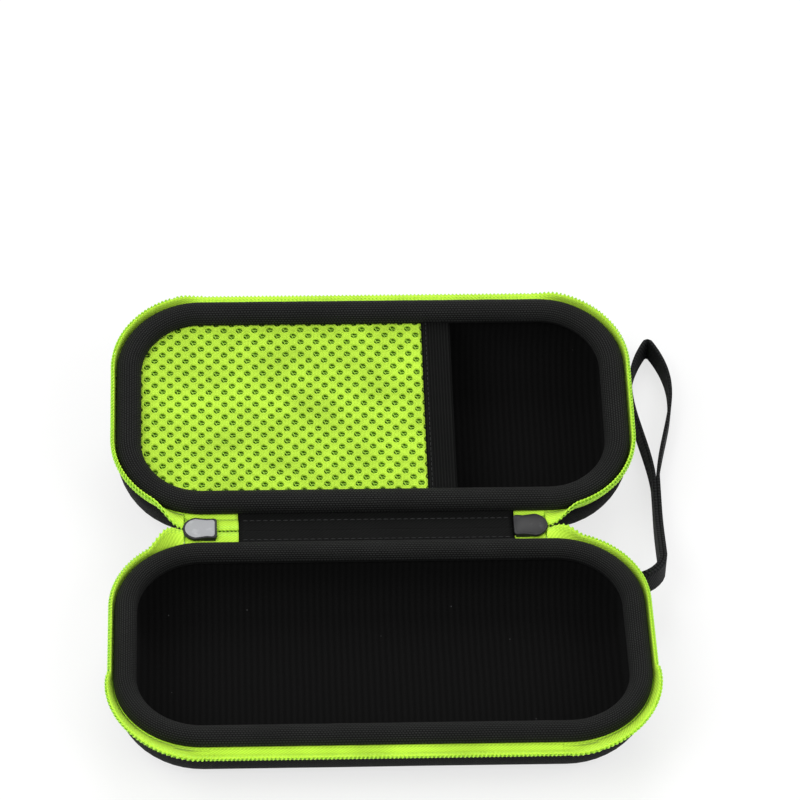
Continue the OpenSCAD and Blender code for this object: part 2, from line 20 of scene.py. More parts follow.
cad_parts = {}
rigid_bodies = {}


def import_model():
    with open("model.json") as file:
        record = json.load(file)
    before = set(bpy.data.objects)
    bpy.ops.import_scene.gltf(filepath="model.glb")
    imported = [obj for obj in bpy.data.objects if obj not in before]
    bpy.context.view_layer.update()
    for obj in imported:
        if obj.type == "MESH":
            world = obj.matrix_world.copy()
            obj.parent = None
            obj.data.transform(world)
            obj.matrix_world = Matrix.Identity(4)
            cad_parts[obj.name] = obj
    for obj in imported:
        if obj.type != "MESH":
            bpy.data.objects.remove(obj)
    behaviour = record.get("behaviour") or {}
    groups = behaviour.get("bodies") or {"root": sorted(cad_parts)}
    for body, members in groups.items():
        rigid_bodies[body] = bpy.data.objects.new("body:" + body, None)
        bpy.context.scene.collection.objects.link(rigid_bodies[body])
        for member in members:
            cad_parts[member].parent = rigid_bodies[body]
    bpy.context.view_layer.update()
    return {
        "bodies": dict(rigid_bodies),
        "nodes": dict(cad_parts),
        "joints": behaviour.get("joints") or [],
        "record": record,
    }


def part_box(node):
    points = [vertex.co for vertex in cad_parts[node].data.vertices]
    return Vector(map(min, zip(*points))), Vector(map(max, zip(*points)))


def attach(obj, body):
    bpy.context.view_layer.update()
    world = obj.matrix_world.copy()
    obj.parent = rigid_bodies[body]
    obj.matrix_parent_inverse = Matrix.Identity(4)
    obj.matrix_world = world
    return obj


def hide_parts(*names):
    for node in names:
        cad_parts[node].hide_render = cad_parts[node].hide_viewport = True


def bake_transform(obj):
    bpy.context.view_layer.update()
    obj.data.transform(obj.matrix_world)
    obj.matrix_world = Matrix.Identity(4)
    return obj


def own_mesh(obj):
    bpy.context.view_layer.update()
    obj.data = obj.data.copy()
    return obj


log = logging.getLogger("case")

MM = 0.001
# Points of a mesh that lie this near, in metres, are one
TOUCHING = 2e-6
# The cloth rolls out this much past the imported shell's front, in millimetres
WIDER = 2.5
CLOTH = "cloth"
# The zip, in millimetres: length of a turn, radius of the wire, how far the coil stands to
# either side of its middle, thickness of the tape, radius of the stitches
PITCH, WIRE, COIL_HALF, TAPE_THICK, STITCH = 1.5, 0.3, 0.34, 0.45, 0.17
# Points in a turn of the coil, and in a stitch
TURN_STEPS, STITCH_STEPS = 12, 4
Pair = tuple[float, float]
Place = Callable[[float, float], Vector]
Tree, Node, Socket = bpy.types.NodeTree, bpy.types.Node, bpy.types.NodeSocket
Piece = bpy.types.Object


class Half(Enum):
    """The two shells of the case."""

    BASE = "base"
    LID = "lid"


class Side(Enum):
    """Left and right, as the sign of X."""

    LEFT = -1
    RIGHT = 1


def eased(t: float) -> float:
    """Return 0 to 1 with a soft start and end for t from 0 to 1."""
    t = min(1.0, max(0.0, t))
    return t * t * (3 - 2 * t)


def spread(low: float, high: float, step: float) -> list[float]:
    """Return evenly spaced values from low to high, about a step apart."""
    count = max(1, math.ceil(abs(high - low) / step))
    return [low + (high - low) * i / count for i in range(count + 1)]


def rough(seed: float, *at: float) -> float:
    """Return smooth noise from about -1 to 1 at a place.

    Args:
        seed: Sets one pattern apart from another.
        at: Up to two numbers, about one unit for each bump.

    Returns:
        The noise there.
    """
    x, y = (list(at) + [0.0])[:2]
    return noise.noise(Vector((x, y, seed)))


def squared(value: float, power: float) -> float:
    """Return a sine or cosine squared off by a power below 1, its sign kept."""
    return math.copysign(abs(value) ** power, value)


def lengths_along(points: Sequence[Sequence[float]], unit: float = 1.0) -> list[float]:
    """Return how far along a line each of its points lies, in a unit.

    Args:
        points: The line's points, in one unit of length.
        unit: The unit wanted, in theirs.

    Returns:
        One distance for each point, from 0.
    """
    found = [0.0]
    for a, b in zip(points, points[1:]):
        found.append(found[-1] + (Vector(b) - Vector(a)).length / unit)
    return found


def coil_turn(step: int) -> Pair:
    """Return where a step of the coil lies across the tape and off it, each from -1 to 1."""
    a = math.tau * step / TURN_STEPS
    return squared(math.cos(a), 0.75), math.sin(a)


def stitch_dip(step: int) -> float:
    """Return how deep a step of a row of stitches sinks, 1 where the thread enters."""
    return 0.5 + 0.5 * math.cos(math.tau * step / STITCH_STEPS)


# Meshes


@dataclass
class Draft:
    """A mesh being made: points in metres, faces, and where each corner lies on its cloth."""

    points: list[Vector] = field(default_factory=list)
    faces: list[tuple[int, ...]] = field(default_factory=list)
    cloth: list[Pair] = field(default_factory=list)

    def face(self, corners: Sequence[int], at: Sequence[Pair]) -> None:
        """Add one face with the place of each corner on the cloth."""
        self.faces.append(tuple(corners))
        self.cloth.extend(at)

    def grid(
        self,
        rows: Sequence[Sequence[Vector]],
        at: Callable[[int, int], Pair],
        closed: bool = False,
        looped: bool = False,
        capped: bool = False,
    ) -> None:
        """Add a skin over rows of points.

        Args:
            rows: Rows of points, all of one length.
            at: Gives the place on the cloth of row i and column j, in millimetres.
            closed: Whether each row's last point joins its first.
            looped: Whether the last row joins the first.
            capped: Whether the first and last rows are closed by a face.
        """
        first = len(self.points)
        width = len(rows[0])
        for row in rows:
            self.points.extend(row)

        def index(i: int, j: int) -> int:
            """Return the number of the point in row i and column j."""
            return first + (i % len(rows)) * width + j % width

        for i in range(len(rows) if looped else len(rows) - 1):
            for j in range(width if closed else width - 1):
                ring = [(i, j), (i, j + 1), (i + 1, j + 1), (i + 1, j)]
                self.face([index(*c) for c in ring], [at(*c) for c in ring])
        if capped:
            for i in (0, len(rows) - 1):
                order = range(width) if i else range(width - 1, -1, -1)
                self.face([index(i, j) for j in order], [at(i, j) for j in order])

    def tube(self, route: Sequence[Vector], radius: float, sides: int = 6) -> None:
        """Add a round wire along a route, with flat ends.

        Args:
            route: Points of its middle line, in metres.
            radius: Half its thickness, in millimetres.
            sides: How many faces go round it.
        """
        rows = []
        normal = Vector((0.31, 0.17, 0.93))  # Any direction that no wire here keeps to
        angles = [math.tau * k / sides for k in range(sides)]
        for i, point in enumerate(route):
            along = (route[min(i + 1, len(route) - 1)] - route[max(i - 1, 0)]).normalized()
            normal = (normal - along * normal.dot(along)).normalized()
            across = along.cross(normal)
            bows = [normal * math.cos(a) + across * math.sin(a) for a in angles]
            rows.append([point + bow * radius * MM for bow in bows])
        self.grid(rows, lambda i, j: (i * radius, j * radius), closed=True, capped=True)

    def build(self, name: str, finish: "Finish", merge: bool = False, thick: float = 0.0) -> Piece:
        """Make the object.

        Args:
            name: Name of the piece.
            finish: What its surface is.
            merge: Whether points that lie together become one.
            thick: Thickness to give a sheet, in millimetres, both ways from it.

        Returns:
            The new object, in the scene.
        """
        mesh = bpy.data.meshes.new(name)
        mesh.from_pydata(self.points, [], self.faces)
        layer = mesh.uv_layers.new(name=CLOTH)
        flat = np.array(self.cloth, np.float32) * MM
        layer.data.foreach_set("uv", flat.ravel())
        work = bmesh.new()
        work.from_mesh(mesh)
        if merge:
            bmesh.ops.remove_doubles(work, verts=work.verts, dist=TOUCHING)
            bmesh.ops.dissolve_degenerate(work, edges=work.edges, dist=TOUCHING / 2)
        bmesh.ops.recalc_face_normals(work, faces=work.faces)
        for poly in work.faces:
            poly.smooth = True
        work.to_mesh(mesh)
        work.free()
        piece = bpy.data.objects.new(name, mesh)
        bpy.context.scene.collection.objects.link(piece)
        if thick:
            skin = piece.modifiers.new("thickness", "SOLIDIFY")
            skin.thickness, skin.offset = thick * MM, 0.0
        finish.dress(piece)
        log.info("%s: %d faces", name, len(mesh.polygons))
        return piece


def settle(piece: Piece) -> Piece:
    """Turn a piece's modifiers into mesh, and return it.

    Args:
        piece: A piece that may have modifiers.

    Returns:
        The same piece, without them.
    """
    graph = bpy.context.evaluated_depsgraph_get()
    solid = bpy.data.meshes.new_from_object(piece.evaluated_get(graph))
    piece.modifiers.clear()
    piece.data = solid
    return piece


# Finishes


def linear(code: str) -> tuple[float, float, float, float]:
    """Turn an sRGB hex colour, such as #a6e22e, to a linear one with full alpha.

    Args:
        code: The colour, with its leading #.

    Returns:
        Red, green, blue and alpha, each 0 to 1.
    """
    parts = [int(code[i : i + 2], 16) / 255 for i in (1, 3, 5)]
    r, g, b = (p / 12.92 if p <= 0.04045 else ((p + 0.055) / 1.055) ** 2.4 for p in parts)
    return (r, g, b, 1.0)


def add_node(tree: Tree, kind: str, inputs: dict | None = None, **settings: object) -> Node:
    """Add a node with its settings, values and links.

    Args:
        tree: The node tree.
        kind: Type of the node.
        inputs: Value, or output to link, for each input by name or number.
        settings: The node's own properties.

    Returns:
        The new node.
    """
    node = tree.nodes.new(kind)
    for key, value in settings.items():
        setattr(node, key, value)
    for key, value in (inputs or {}).items():
        if isinstance(value, Socket):
            tree.links.new(value, node.inputs[key])
        else:
            node.inputs[key].default_value = value
    return node


class Weave(Enum):
    """How the yarns of a cloth cross."""

    BALLISTIC = "pairs of thick yarn in staggered rows"
    TWILL = "slanting ridges"
    RIBS = "ridges along the cloth"
    PLAIN = "a fine even grid"


@dataclass(frozen=True)
class Finish:
    """A surface that a piece can be dressed in. Patterns are counted per metre."""

    name: str

    def paint(self, tree: Tree, surface: Node) -> None:
        """Set the surface's colour and relief.

        Args:
            tree: The node tree.
            surface: The surface's shader.
        """
        raise NotImplementedError

    def dress(self, piece: Piece) -> None:
        """Put this finish on a piece in place of any other.

        Args:
            piece: The piece to dress.
        """
        name = f"finish_{self.name}"
        found = bpy.data.materials.get(name)
        if not found:
            found = bpy.data.materials.new(name)
            found.use_nodes = True
            tree = found.node_tree
            tree.nodes.clear()
            surface = add_node(tree, "ShaderNodeBsdfPrincipled")
            add_node(tree, "ShaderNodeOutputMaterial", {"Surface": surface.outputs[0]})
            self.paint(tree, surface)
        piece.data.materials.clear()
        piece.data.materials.append(found)

    @staticmethod
    def mottle(tree: Tree, count: float, detail: float) -> Socket:
        """Return soft noise over the piece, a count of its bumps to a metre.

        Args:
            tree: The node tree.
            count: Bumps to a metre.
            detail: How many finer layers lie over them.

        Returns:
            The output with the noise, 0 to 1.
        """
        place = add_node(tree, "ShaderNodeTexCoord").outputs["Object"]
        inputs = {"Vector": place, "Scale": count, "Detail": detail}
        return add_node(tree, "ShaderNodeTexNoise", inputs).outputs[0]

    @staticmethod
    def scatter(tree: Tree, count: float) -> Socket:
        """Return the distance to the nearest of scattered points, a count to a metre.

        Args:
            tree: The node tree.
            count: Points to a metre.

        Returns:
            The output with the distance, in cells.
        """
        place = add_node(tree, "ShaderNodeTexCoord").outputs["Object"]
        inputs = {"Vector": place, "Scale": count}
        return add_node(tree, "ShaderNodeTexVoronoi", inputs).outputs["Distance"]

    @staticmethod
    def waves(
        tree: Tree, at: Socket, way: str, count: float = 1.0, stray: float = 0.0
    ) -> Socket:
        """Return even ridges, 0 to 1.

        Args:
            tree: The node tree.
            at: Where the surface's points lie.
            way: The axis that the ridges follow one another along.
            count: Ridges in one unit.
            stray: How far they stray from straight lines.

        Returns:
            The output with their height.
        """
        inputs = {"Vector": at, "Scale": math.tau / 20 * count, "Distortion": stray}
        return add_node(tree, "ShaderNodeTexWave", inputs, bands_direction=way).outputs["Fac"]

    @staticmethod
    def remap(tree: Tree, value: Socket, given: Pair, wanted: Pair) -> Socket:
        """Return a value turned from one range to another.

        Args:
            tree: The node tree.
            value: The output to turn.
            given: Its range.
            wanted: The range it becomes.

        Returns:
            The output with the new value.
        """
        names = ("From Min", "From Max", "To Min", "To Max")
        inputs = {"Value": value, **dict(zip(names, (*given, *wanted)))}
        return add_node(tree, "ShaderNodeMapRange", inputs).outputs[0]

    @staticmethod
    def mixed(tree: Tree, share: Socket | float, low: Socket, high: Socket) -> Socket:
        """Return one height mixed with another by a share.

        Args:
            tree: The node tree.
            share: How much of the second.
            low: The first height.
            high: The second height.

        Returns:
            The output with the mixed height.
        """
        inputs = {0: share, 2: low, 3: high}
        return add_node(tree, "ShaderNodeMix", inputs, data_type="FLOAT").outputs[0]

    @staticmethod
    def ramp(tree: Tree, value: Socket, low: str | Socket, high: str) -> Socket:
        """Return the colour that runs from low to high with a value of 0 to 1.

        Args:
            tree: The node tree.
            value: How far along the ramp, 0 to 1.
            low: Colour at 0, as a code or an output.
            high: Colour at 1, as a code.

        Returns:
            The output with the colour.
        """
        start = linear(low) if isinstance(low, str) else low
        inputs = {0: value, 6: start, 7: linear(high)}
        return add_node(tree, "ShaderNodeMix", inputs, data_type="RGBA").outputs[2]

    @staticmethod
    def coat(
        tree: Tree,
        shader: Node,
        colour: Socket,
        height: Socket,
        depth: float,
        gloss: dict[str, float],
    ) -> None:
        """Finish the shader.

        Args:
            tree: The node tree.
            shader: The surface's shader.
            colour: The output with its colour.
            height: The output with its relief, from 0 to 1.
            depth: Depth of the relief in millimetres.
            gloss: Values for the shader's own inputs.
        """
        tree.links.new(colour, shader.inputs["Base Color"])
        for name, value in gloss.items():
            shader.inputs[name].default_value = value
        relief = {"Height": height, "Distance": depth * MM, "Strength": 1.0}
        bump = add_node(tree, "ShaderNodeBump", relief)
        tree.links.new(bump.outputs[0], shader.inputs["Normal"])


@dataclass(frozen=True)
class WovenCloth(Finish):
    """Polyamide or polyester cloth: its weave is real, and its colours carry a painted highlight
    on each raised yarn and painted shade in the gaps between.
    """

    # Colour of a raised yarn: the cloth's own colour lifted by a painted highlight
    yarn: str
    # Colour between the yarns: painted shade
    gap: str
    weave: Weave
    pitch: float
    depth: float
    roughness: float = 0.7
    sheen: float = 0.2
    turn: float = 0.0
    gap_share: float = 0.3
    row: float = 0.72
    wear: float = 60.0

    def threads(self, tree: Tree, at: Socket) -> Socket:
        """Return the height of the yarns, 0 in a gap and 1 on a yarn.

        Args:
            tree: The node tree.
            at: Place on the cloth.

        Returns:
            The output with the height.
        """
        cells = add_node(
            tree,
            "ShaderNodeMapping",
            {"Vector": at, "Scale": (1 / (self.pitch * MM),) * 3, "Rotation": (0, 0, self.turn)},
        ).outputs[0]
        if self.weave is Weave.BALLISTIC:
            brick = add_node(
                tree,
                "ShaderNodeTexBrick",
                {
                    "Vector": cells,
                    "Color1": (1, 1, 1, 1),
                    "Color2": (0.8, 0.8, 0.8, 1),
                    "Mortar": (0, 0, 0, 1),
                    "Scale": 1.0,
                    "Mortar Size": self.gap_share,
                    "Mortar Smooth": 1.0,
                    "Brick Width": 1.0,
                    "Row Height": self.row,
                },
                offset=0.5,
                squash=1.0,
            )
            return add_node(
                tree, "ShaderNodeMath", {0: 1.0, 1: brick.outputs["Fac"]}, operation="SUBTRACT"
            ).outputs[0]
        ridge = self.waves(tree, cells, "X")
        if self.weave is Weave.RIBS:
            return ridge
        share = 0.5 if self.weave is Weave.PLAIN else 0.2
        return self.mixed(tree, share, ridge, self.waves(tree, cells, "Y"))

    def paint(self, tree: Tree, surface: Node) -> None:
        """Weave the cloth, with painted shade in the gaps and a painted highlight on the yarns,
        and a slow change of shade as it wears.

        Args:
            tree: The node tree.
            surface: The surface's shader.
        """
        at = add_node(tree, "ShaderNodeUVMap", uv_map=CLOTH).outputs[0]
        height = self.threads(tree, at)
        worn = self.mottle(tree, self.wear, 3.0)
        shade = self.remap(tree, worn, (0.3, 0.7), (0.86, 1.1))
        # Colour runs by height from the gaps' painted shade to the yarns' painted highlight, then
        # takes the wear's random tone
        inputs = {0: 1.0, 6: self.ramp(tree, height, self.gap, self.yarn), 7: shade}
        painted_shade_and_wear = add_node(
            tree, "ShaderNodeMix", inputs, data_type="RGBA", blend_type="MULTIPLY"
        ).outputs[2]
        gloss = {
            "Roughness": self.roughness,
            "Sheen Weight": self.sheen,
            "Sheen Roughness": 0.5,
            "Specular IOR Level": 0.08,
        }
        self.coat(tree, surface, painted_shade_and_wear, height, self.depth, gloss)


@dataclass(frozen=True)
class BrushedVelvet(Finish):
    """Short-pile lining: dark, with a soft edge of light, faint ribs and a little lint."""

    pile: str = "#131313"
    deep: str = "#060606"
    lint: str = "#3c3c3c"
    rib: float = 2.4
    tufts: float = 2600.0
    flecks: float = 90.0
    fleck_size: float = 0.022

    def paint(self, tree: Tree, surface: Node) -> None:
        """Brush the pile, and leave a fleck of lint every centimetre or so.

        Args:
            tree: The node tree.
            surface: The surface's shader.
        """
        place = add_node(tree, "ShaderNodeTexCoord").outputs["Object"]
        pile = self.mottle(tree, self.tufts, 2.0)
        ribs = self.waves(tree, place, "X", 1 / (self.rib * MM), 0.6)
        height = self.mixed(tree, 0.35, pile, ribs)
        colour = self.ramp(tree, height, self.deep, self.pile)
        near = {0: self.scatter(tree, self.flecks), 1: self.fleck_size}
        fleck = add_node(tree, "ShaderNodeMath", near, operation="LESS_THAN").outputs[0]
        shown = self.ramp(tree, fleck, colour, self.lint)
        gloss = {"Roughness": 0.95, "Sheen Weight": 0.01, "Specular IOR Level": 0.03}
        self.coat(tree, surface, shown, height, 0.12, gloss)


@dataclass(frozen=True)
class DrawnFilament(Finish):
    """Polyester filament of a coil or its thread: dyed through, with a soft gloss."""

    colour: str
    shadow: str
    roughness: float = 0.42
    streaks: float = 350.0

    def paint(self, tree: Tree, surface: Node) -> None:
        """Dye the filament, a little unevenly along its length.

        Args:
            tree: The node tree.
            surface: The surface's shader.
        """
        dye = self.mottle(tree, self.streaks, 2.0)
        colour = self.ramp(tree, dye, self.shadow, self.colour)
        self.coat(tree, surface, colour, dye, 0.02, {"Roughness": self.roughness})


@dataclass(frozen=True)
class Enamel(Finish):
    """Zinc casting under baked enamel: smooth, with a faint orange-peel."""

    colour: str
    worn: str
    roughness: float = 0.38
    peel: float = 1400.0
    rubs: float = 300.0

    def paint(self, tree: Tree, surface: Node) -> None:
        """Lay the enamel, with light rubbing on it.

        Args:
            tree: The node tree.
            surface: The surface's shader.
        """
        peel = self.mottle(tree, self.peel, 1.0)
        rubbed = self.remap(tree, self.mottle(tree, self.rubs, 4.0), (0.55, 0.75), (0.0, 0.6))
        colour = self.ramp(tree, rubbed, self.colour, self.worn)
        gloss = {"Roughness": self.roughness, "Specular IOR Level": 0.25}
        self.coat(tree, surface, colour, peel, 0.02, gloss)


@dataclass(frozen=True)
class MouldedFoam(Finish):
    """Closed-cell foam, pressed hot: matt, with a fine grain."""

    colour: str = "#1b1b1d"
    pit: str = "#101011"
    cells: float = 1100.0

    def paint(self, tree: Tree, surface: Node) -> None:
        """Press the foam's grain.

        Args:
            tree: The node tree.
            surface: The surface's shader.
        """
        grain = self.scatter(tree, self.cells)
        colour = self.ramp(tree, grain, self.pit, self.colour)
        self.coat(tree, surface, colour, grain, 0.08, {"Roughness": 0.9})


@dataclass(frozen=True)
class PaleFloor(Finish):
    """Matt white board: to the camera partly glowing, so that it stays pale."""

    colour: str = "#f2f2f2"
    glow: float = 0.7

    def paint(self, tree: Tree, surface: Node) -> None:
        """Mix the board with white for camera rays only.

        Args:
            tree: The node tree.
            surface: The surface's shader.
        """
        surface.inputs["Base Color"].default_value = linear(self.colour)
        surface.inputs["Roughness"].default_value = 0.9
        surface.inputs["Specular IOR Level"].default_value = 0.1
        seen = add_node(tree, "ShaderNodeLightPath").outputs["Is Camera Ray"]
        share = add_node(
            tree, "ShaderNodeMath", {0: seen, 1: self.glow}, operation="MULTIPLY"
        ).outputs[0]
        white = add_node(tree, "ShaderNodeEmission", {"Color": (1, 1, 1, 1), "Strength": 1.0})
        inputs = {0: share, 1: surface.outputs[0], 2: white.outputs[0]}
        mix = add_node(tree, "ShaderNodeMixShader", inputs)
        out = next(n for n in tree.nodes if n.type == "OUTPUT_MATERIAL")
        tree.links.new(mix.outputs[0], out.inputs["Surface"])


# The yarns of all these cloths are too fine to show: they are drawn coarser than real ones,
# two to three times as far apart. Cover and rim are heavy polyamide, the tape is polyester
# In each cloth below, the first colour is the yarn's own colour with a painted highlight, the
# second is painted shade between the yarns
COVER_CLOTH = WovenCloth(
    "ballistic_nylon", "#1a1b1d", "#020202", Weave.BALLISTIC, pitch=1.3, depth=0.16, sheen=0.02
)
RIM_CLOTH = WovenCloth(
    "rim_nylon", "#292a29", "#020202", Weave.BALLISTIC, pitch=1.15, depth=0.18, sheen=0.02
)
TAPE_CLOTH = WovenCloth(
    "lime_tape", "#ccfa4c", "#acde34", Weave.TWILL, pitch=0.9, depth=0.05, turn=0.9, sheen=0.05
)
NET_CLOTH = WovenCloth(
    "lime_net", "#c8ee4c", "#98c82c", Weave.PLAIN, pitch=0.55, depth=0.06, sheen=0.05
)
ELASTIC_CLOTH = WovenCloth(
    "ribbed_elastic", "#101110", "#020202", Weave.RIBS, pitch=1.15, depth=0.25, sheen=0.01
)
RIBBON_CLOTH = WovenCloth(
    "hinge_twill", "#111211", "#030303", Weave.TWILL, pitch=1.0, depth=0.1, turn=0.85, sheen=0.01
)
WEBBING_CLOTH = WovenCloth(
    "black_webbing", "#262728", "#030303", Weave.TWILL, pitch=1.3, depth=0.14, turn=0.6, sheen=0.02
)
# The net's lower face: its darker green is painted shade where it lies under the upper face
SHADED_NET_BACK = WovenCloth(
    "net_back", "#84b62a", "#4a7212", Weave.PLAIN, pitch=1.0, depth=0.2, sheen=0.0
)
VELVET = BrushedVelvet("velvet")
COIL = DrawnFilament("lime_coil", "#bcee40", "#9ad426")
LIME_THREAD = DrawnFilament("lime_thread", "#c6f45c", "#a4dc30", roughness=0.6)
BLACK_THREAD = DrawnFilament("black_thread", "#1e1f20", "#0e0e0f", roughness=0.7)
GREY_ENAMEL = Enamel("grey_enamel", "#9c9da0", "#b6b7ba", roughness=0.6)
BLACK_ENAMEL = Enamel("black_enamel", "#161618", "#3a3a3d")
FOAM = MouldedFoam("moulded_foam")
FLOOR = PaleFloor("pale_floor")


# The case's lines


@dataclass(frozen=True)
class Seam:
    """The line round a shell where its zip, cover and rim are sewn together."""

    length: float
    width: float
    radius: float = 33.0

    @property
    def around(self) -> float:
        """Length of the whole line."""
        flat = 2 * (self.length + self.width) - 8 * self.radius
        return flat + math.tau * self.radius

    def at(self, run: float) -> tuple[Vector, Vector]:
        """Return a point of the line and the direction out from it.

        Args:
            run: Distance from the middle of the hinge side, first towards +X.

        Returns:
            The point and the outward direction, both flat.
        """
        run %= self.around
        if run > self.around / 2:
            point, out = self.at(self.around - run)
            return Vector((-point.x, point.y, 0)), Vector((-out.x, out.y, 0))
        half = self.length / 2 - self.radius, self.width / 2 - self.radius
        quarter = self.radius * math.pi / 2
        if run < half[0]:
            return Vector((run, self.width / 2, 0)), Vector((0, 1, 0))
        run -= half[0]
        if run < quarter:
            out = Vector((math.sin(run / self.radius), math.cos(run / self.radius), 0))
            return Vector((*half, 0)) + out * self.radius, out
        run -= quarter
        if run < 2 * half[1]:
            return Vector((self.length / 2, half[1] - run, 0)), Vector((1, 0, 0))
        run -= 2 * half[1]
        if run < quarter:
            out = Vector((math.cos(run / self.radius), -math.sin(run / self.radius), 0))
            return Vector((half[0], -half[1], 0)) + out * self.radius, out
        run -= quarter
        return Vector((half[0] - run, -self.width / 2, 0)), Vector((0, -1, 0))

    def run_at(self, x: float, rear: bool) -> float:
        """Return how far along the line a place on the hinge side or the front is.

        Args:
            x: The place along X; its sign picks the side.
            rear: Whether it is on the hinge side.

        Returns:
            The distance along the line.
        """
        reach = abs(x)
        straight = self.length / 2 - self.radius
        run = (
            reach
            if reach <= straight
            else straight + self.radius * math.asin((reach - straight) / self.radius)
        )
        if not rear:
            run = self.around / 2 - run
        return run if x > 0 else self.around - run

    def ring(self, inset: float, corner: int = 12, long: int = 40, end: int = 12) -> list[Vector]:
        """Return an even ring of points, moved in from the line.

        Args:
            inset: How far in; less than zero is out.
            corner: Points in each corner.
            long: Points along each long side.
            end: Points along each end.

        Returns:
            The points, the same number for any inset.
        """
        r = max(0.0, self.radius - inset)
        hx = max(0.0, self.length / 2 - inset - r)
        hy = max(0.0, self.width / 2 - inset - r)
        points = []
        sides = (
            (1, 1, 90, 1, -1, end),
            (1, -1, 0, -1, -1, long),
            (-1, -1, -90, -1, 1, end),
            (-1, 1, 180, 1, 1, long),
        )
        for sx, sy, start, nx, ny, count in sides:
            for i in range(corner):
                a = math.radians(start - 90 * i / corner)
                points.append(Vector((sx * hx + r * math.cos(a), sy * hy + r * math.sin(a), 0)))
            a = math.radians(start - 90)
            bow = Vector((r * math.cos(a), r * math.sin(a), 0))
            tip = Vector((sx * hx, sy * hy, 0)) + bow
            goal = Vector((nx * hx, ny * hy, 0)) + bow
            points += [tip.lerp(goal, i / count) for i in range(count)]
        return points


@dataclass(frozen=True)
class Bend:
    """How a joint turns the pieces that cross it, seen at rest."""

    point: Vector
    axis: Vector
    turn: float

    def open_out(self, place: Vector, share: float) -> Vector:
        """Return where a place of the shut case lies at rest.

        Args:
            place: The place when shut, as seen from the piece that stays.
            share: How much of the joint's turn reaches it, from 0 to 1.

        Returns:
            The place at rest.
        """
        back = Matrix.Rotation(-self.turn * share, 4, self.axis)
        return self.point + back @ (place - self.point)


@dataclass(frozen=True)
class Layout:
    """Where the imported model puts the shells, the hinge's link and their joints."""

    seam: Seam
    places: dict[Half, Matrix]
    link: Matrix
    link_w: float
    coil_out: float
    seam_up: float
    bends: dict[str, Bend]

    @classmethod
    def of_frame(cls, frame: dict) -> "Layout":
        """Work the places out from the frame's joints and the base's cover.


        Returns:
            The layout.
        """
        low, high = (Vector(c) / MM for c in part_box("base_cover"))
        middle = (low + high) / 2
        size = high - low
        joints = {j["name"]: j for j in frame["record"]["behaviour"]["joints"]}
        bends = {
            name: Bend(
                Vector(j["pos_m"]), Vector(j["axis"]), math.radians(max(j["range_deg"], key=abs))
            )
            for name, j in joints.items()
            if j["type"] == "hinge"
        }
        near, far = bends["fold"].point / MM, bends["lid_fold"].point / MM
        coil_out = near.y - middle.y - size.y / 2
        seam_up = near.z - size.z
        slope = math.atan2(far.z - near.z, far.y - near.y)
        tilt = math.pi - bends["fold"].turn - bends["lid_fold"].turn
        scale = Matrix.Scale(MM, 4)
        base = scale @ Matrix.Translation((middle.x, middle.y - WIDER / 2, size.z))
        lid = (
            scale
            @ Matrix.Translation((middle.x, far.y, far.z))
            @ Matrix.Rotation(tilt, 4, "X")
            @ Matrix.Translation((0, (size.y + WIDER) / 2 + coil_out, -seam_up))
            @ Matrix.Scale(-1, 4, (0, 1, 0))
        )
        link = scale @ Matrix.Translation((middle.x, near.y, near.z))
        link @= Matrix.Rotation(slope, 4, "X")
        return cls(
            Seam(size.x, size.y + WIDER),
            {Half.BASE: base, Half.LID: lid},
            link,
            math.hypot(far.y - near.y, far.z - near.z),
            coil_out,
            seam_up,
            bends,
        )


# Shells


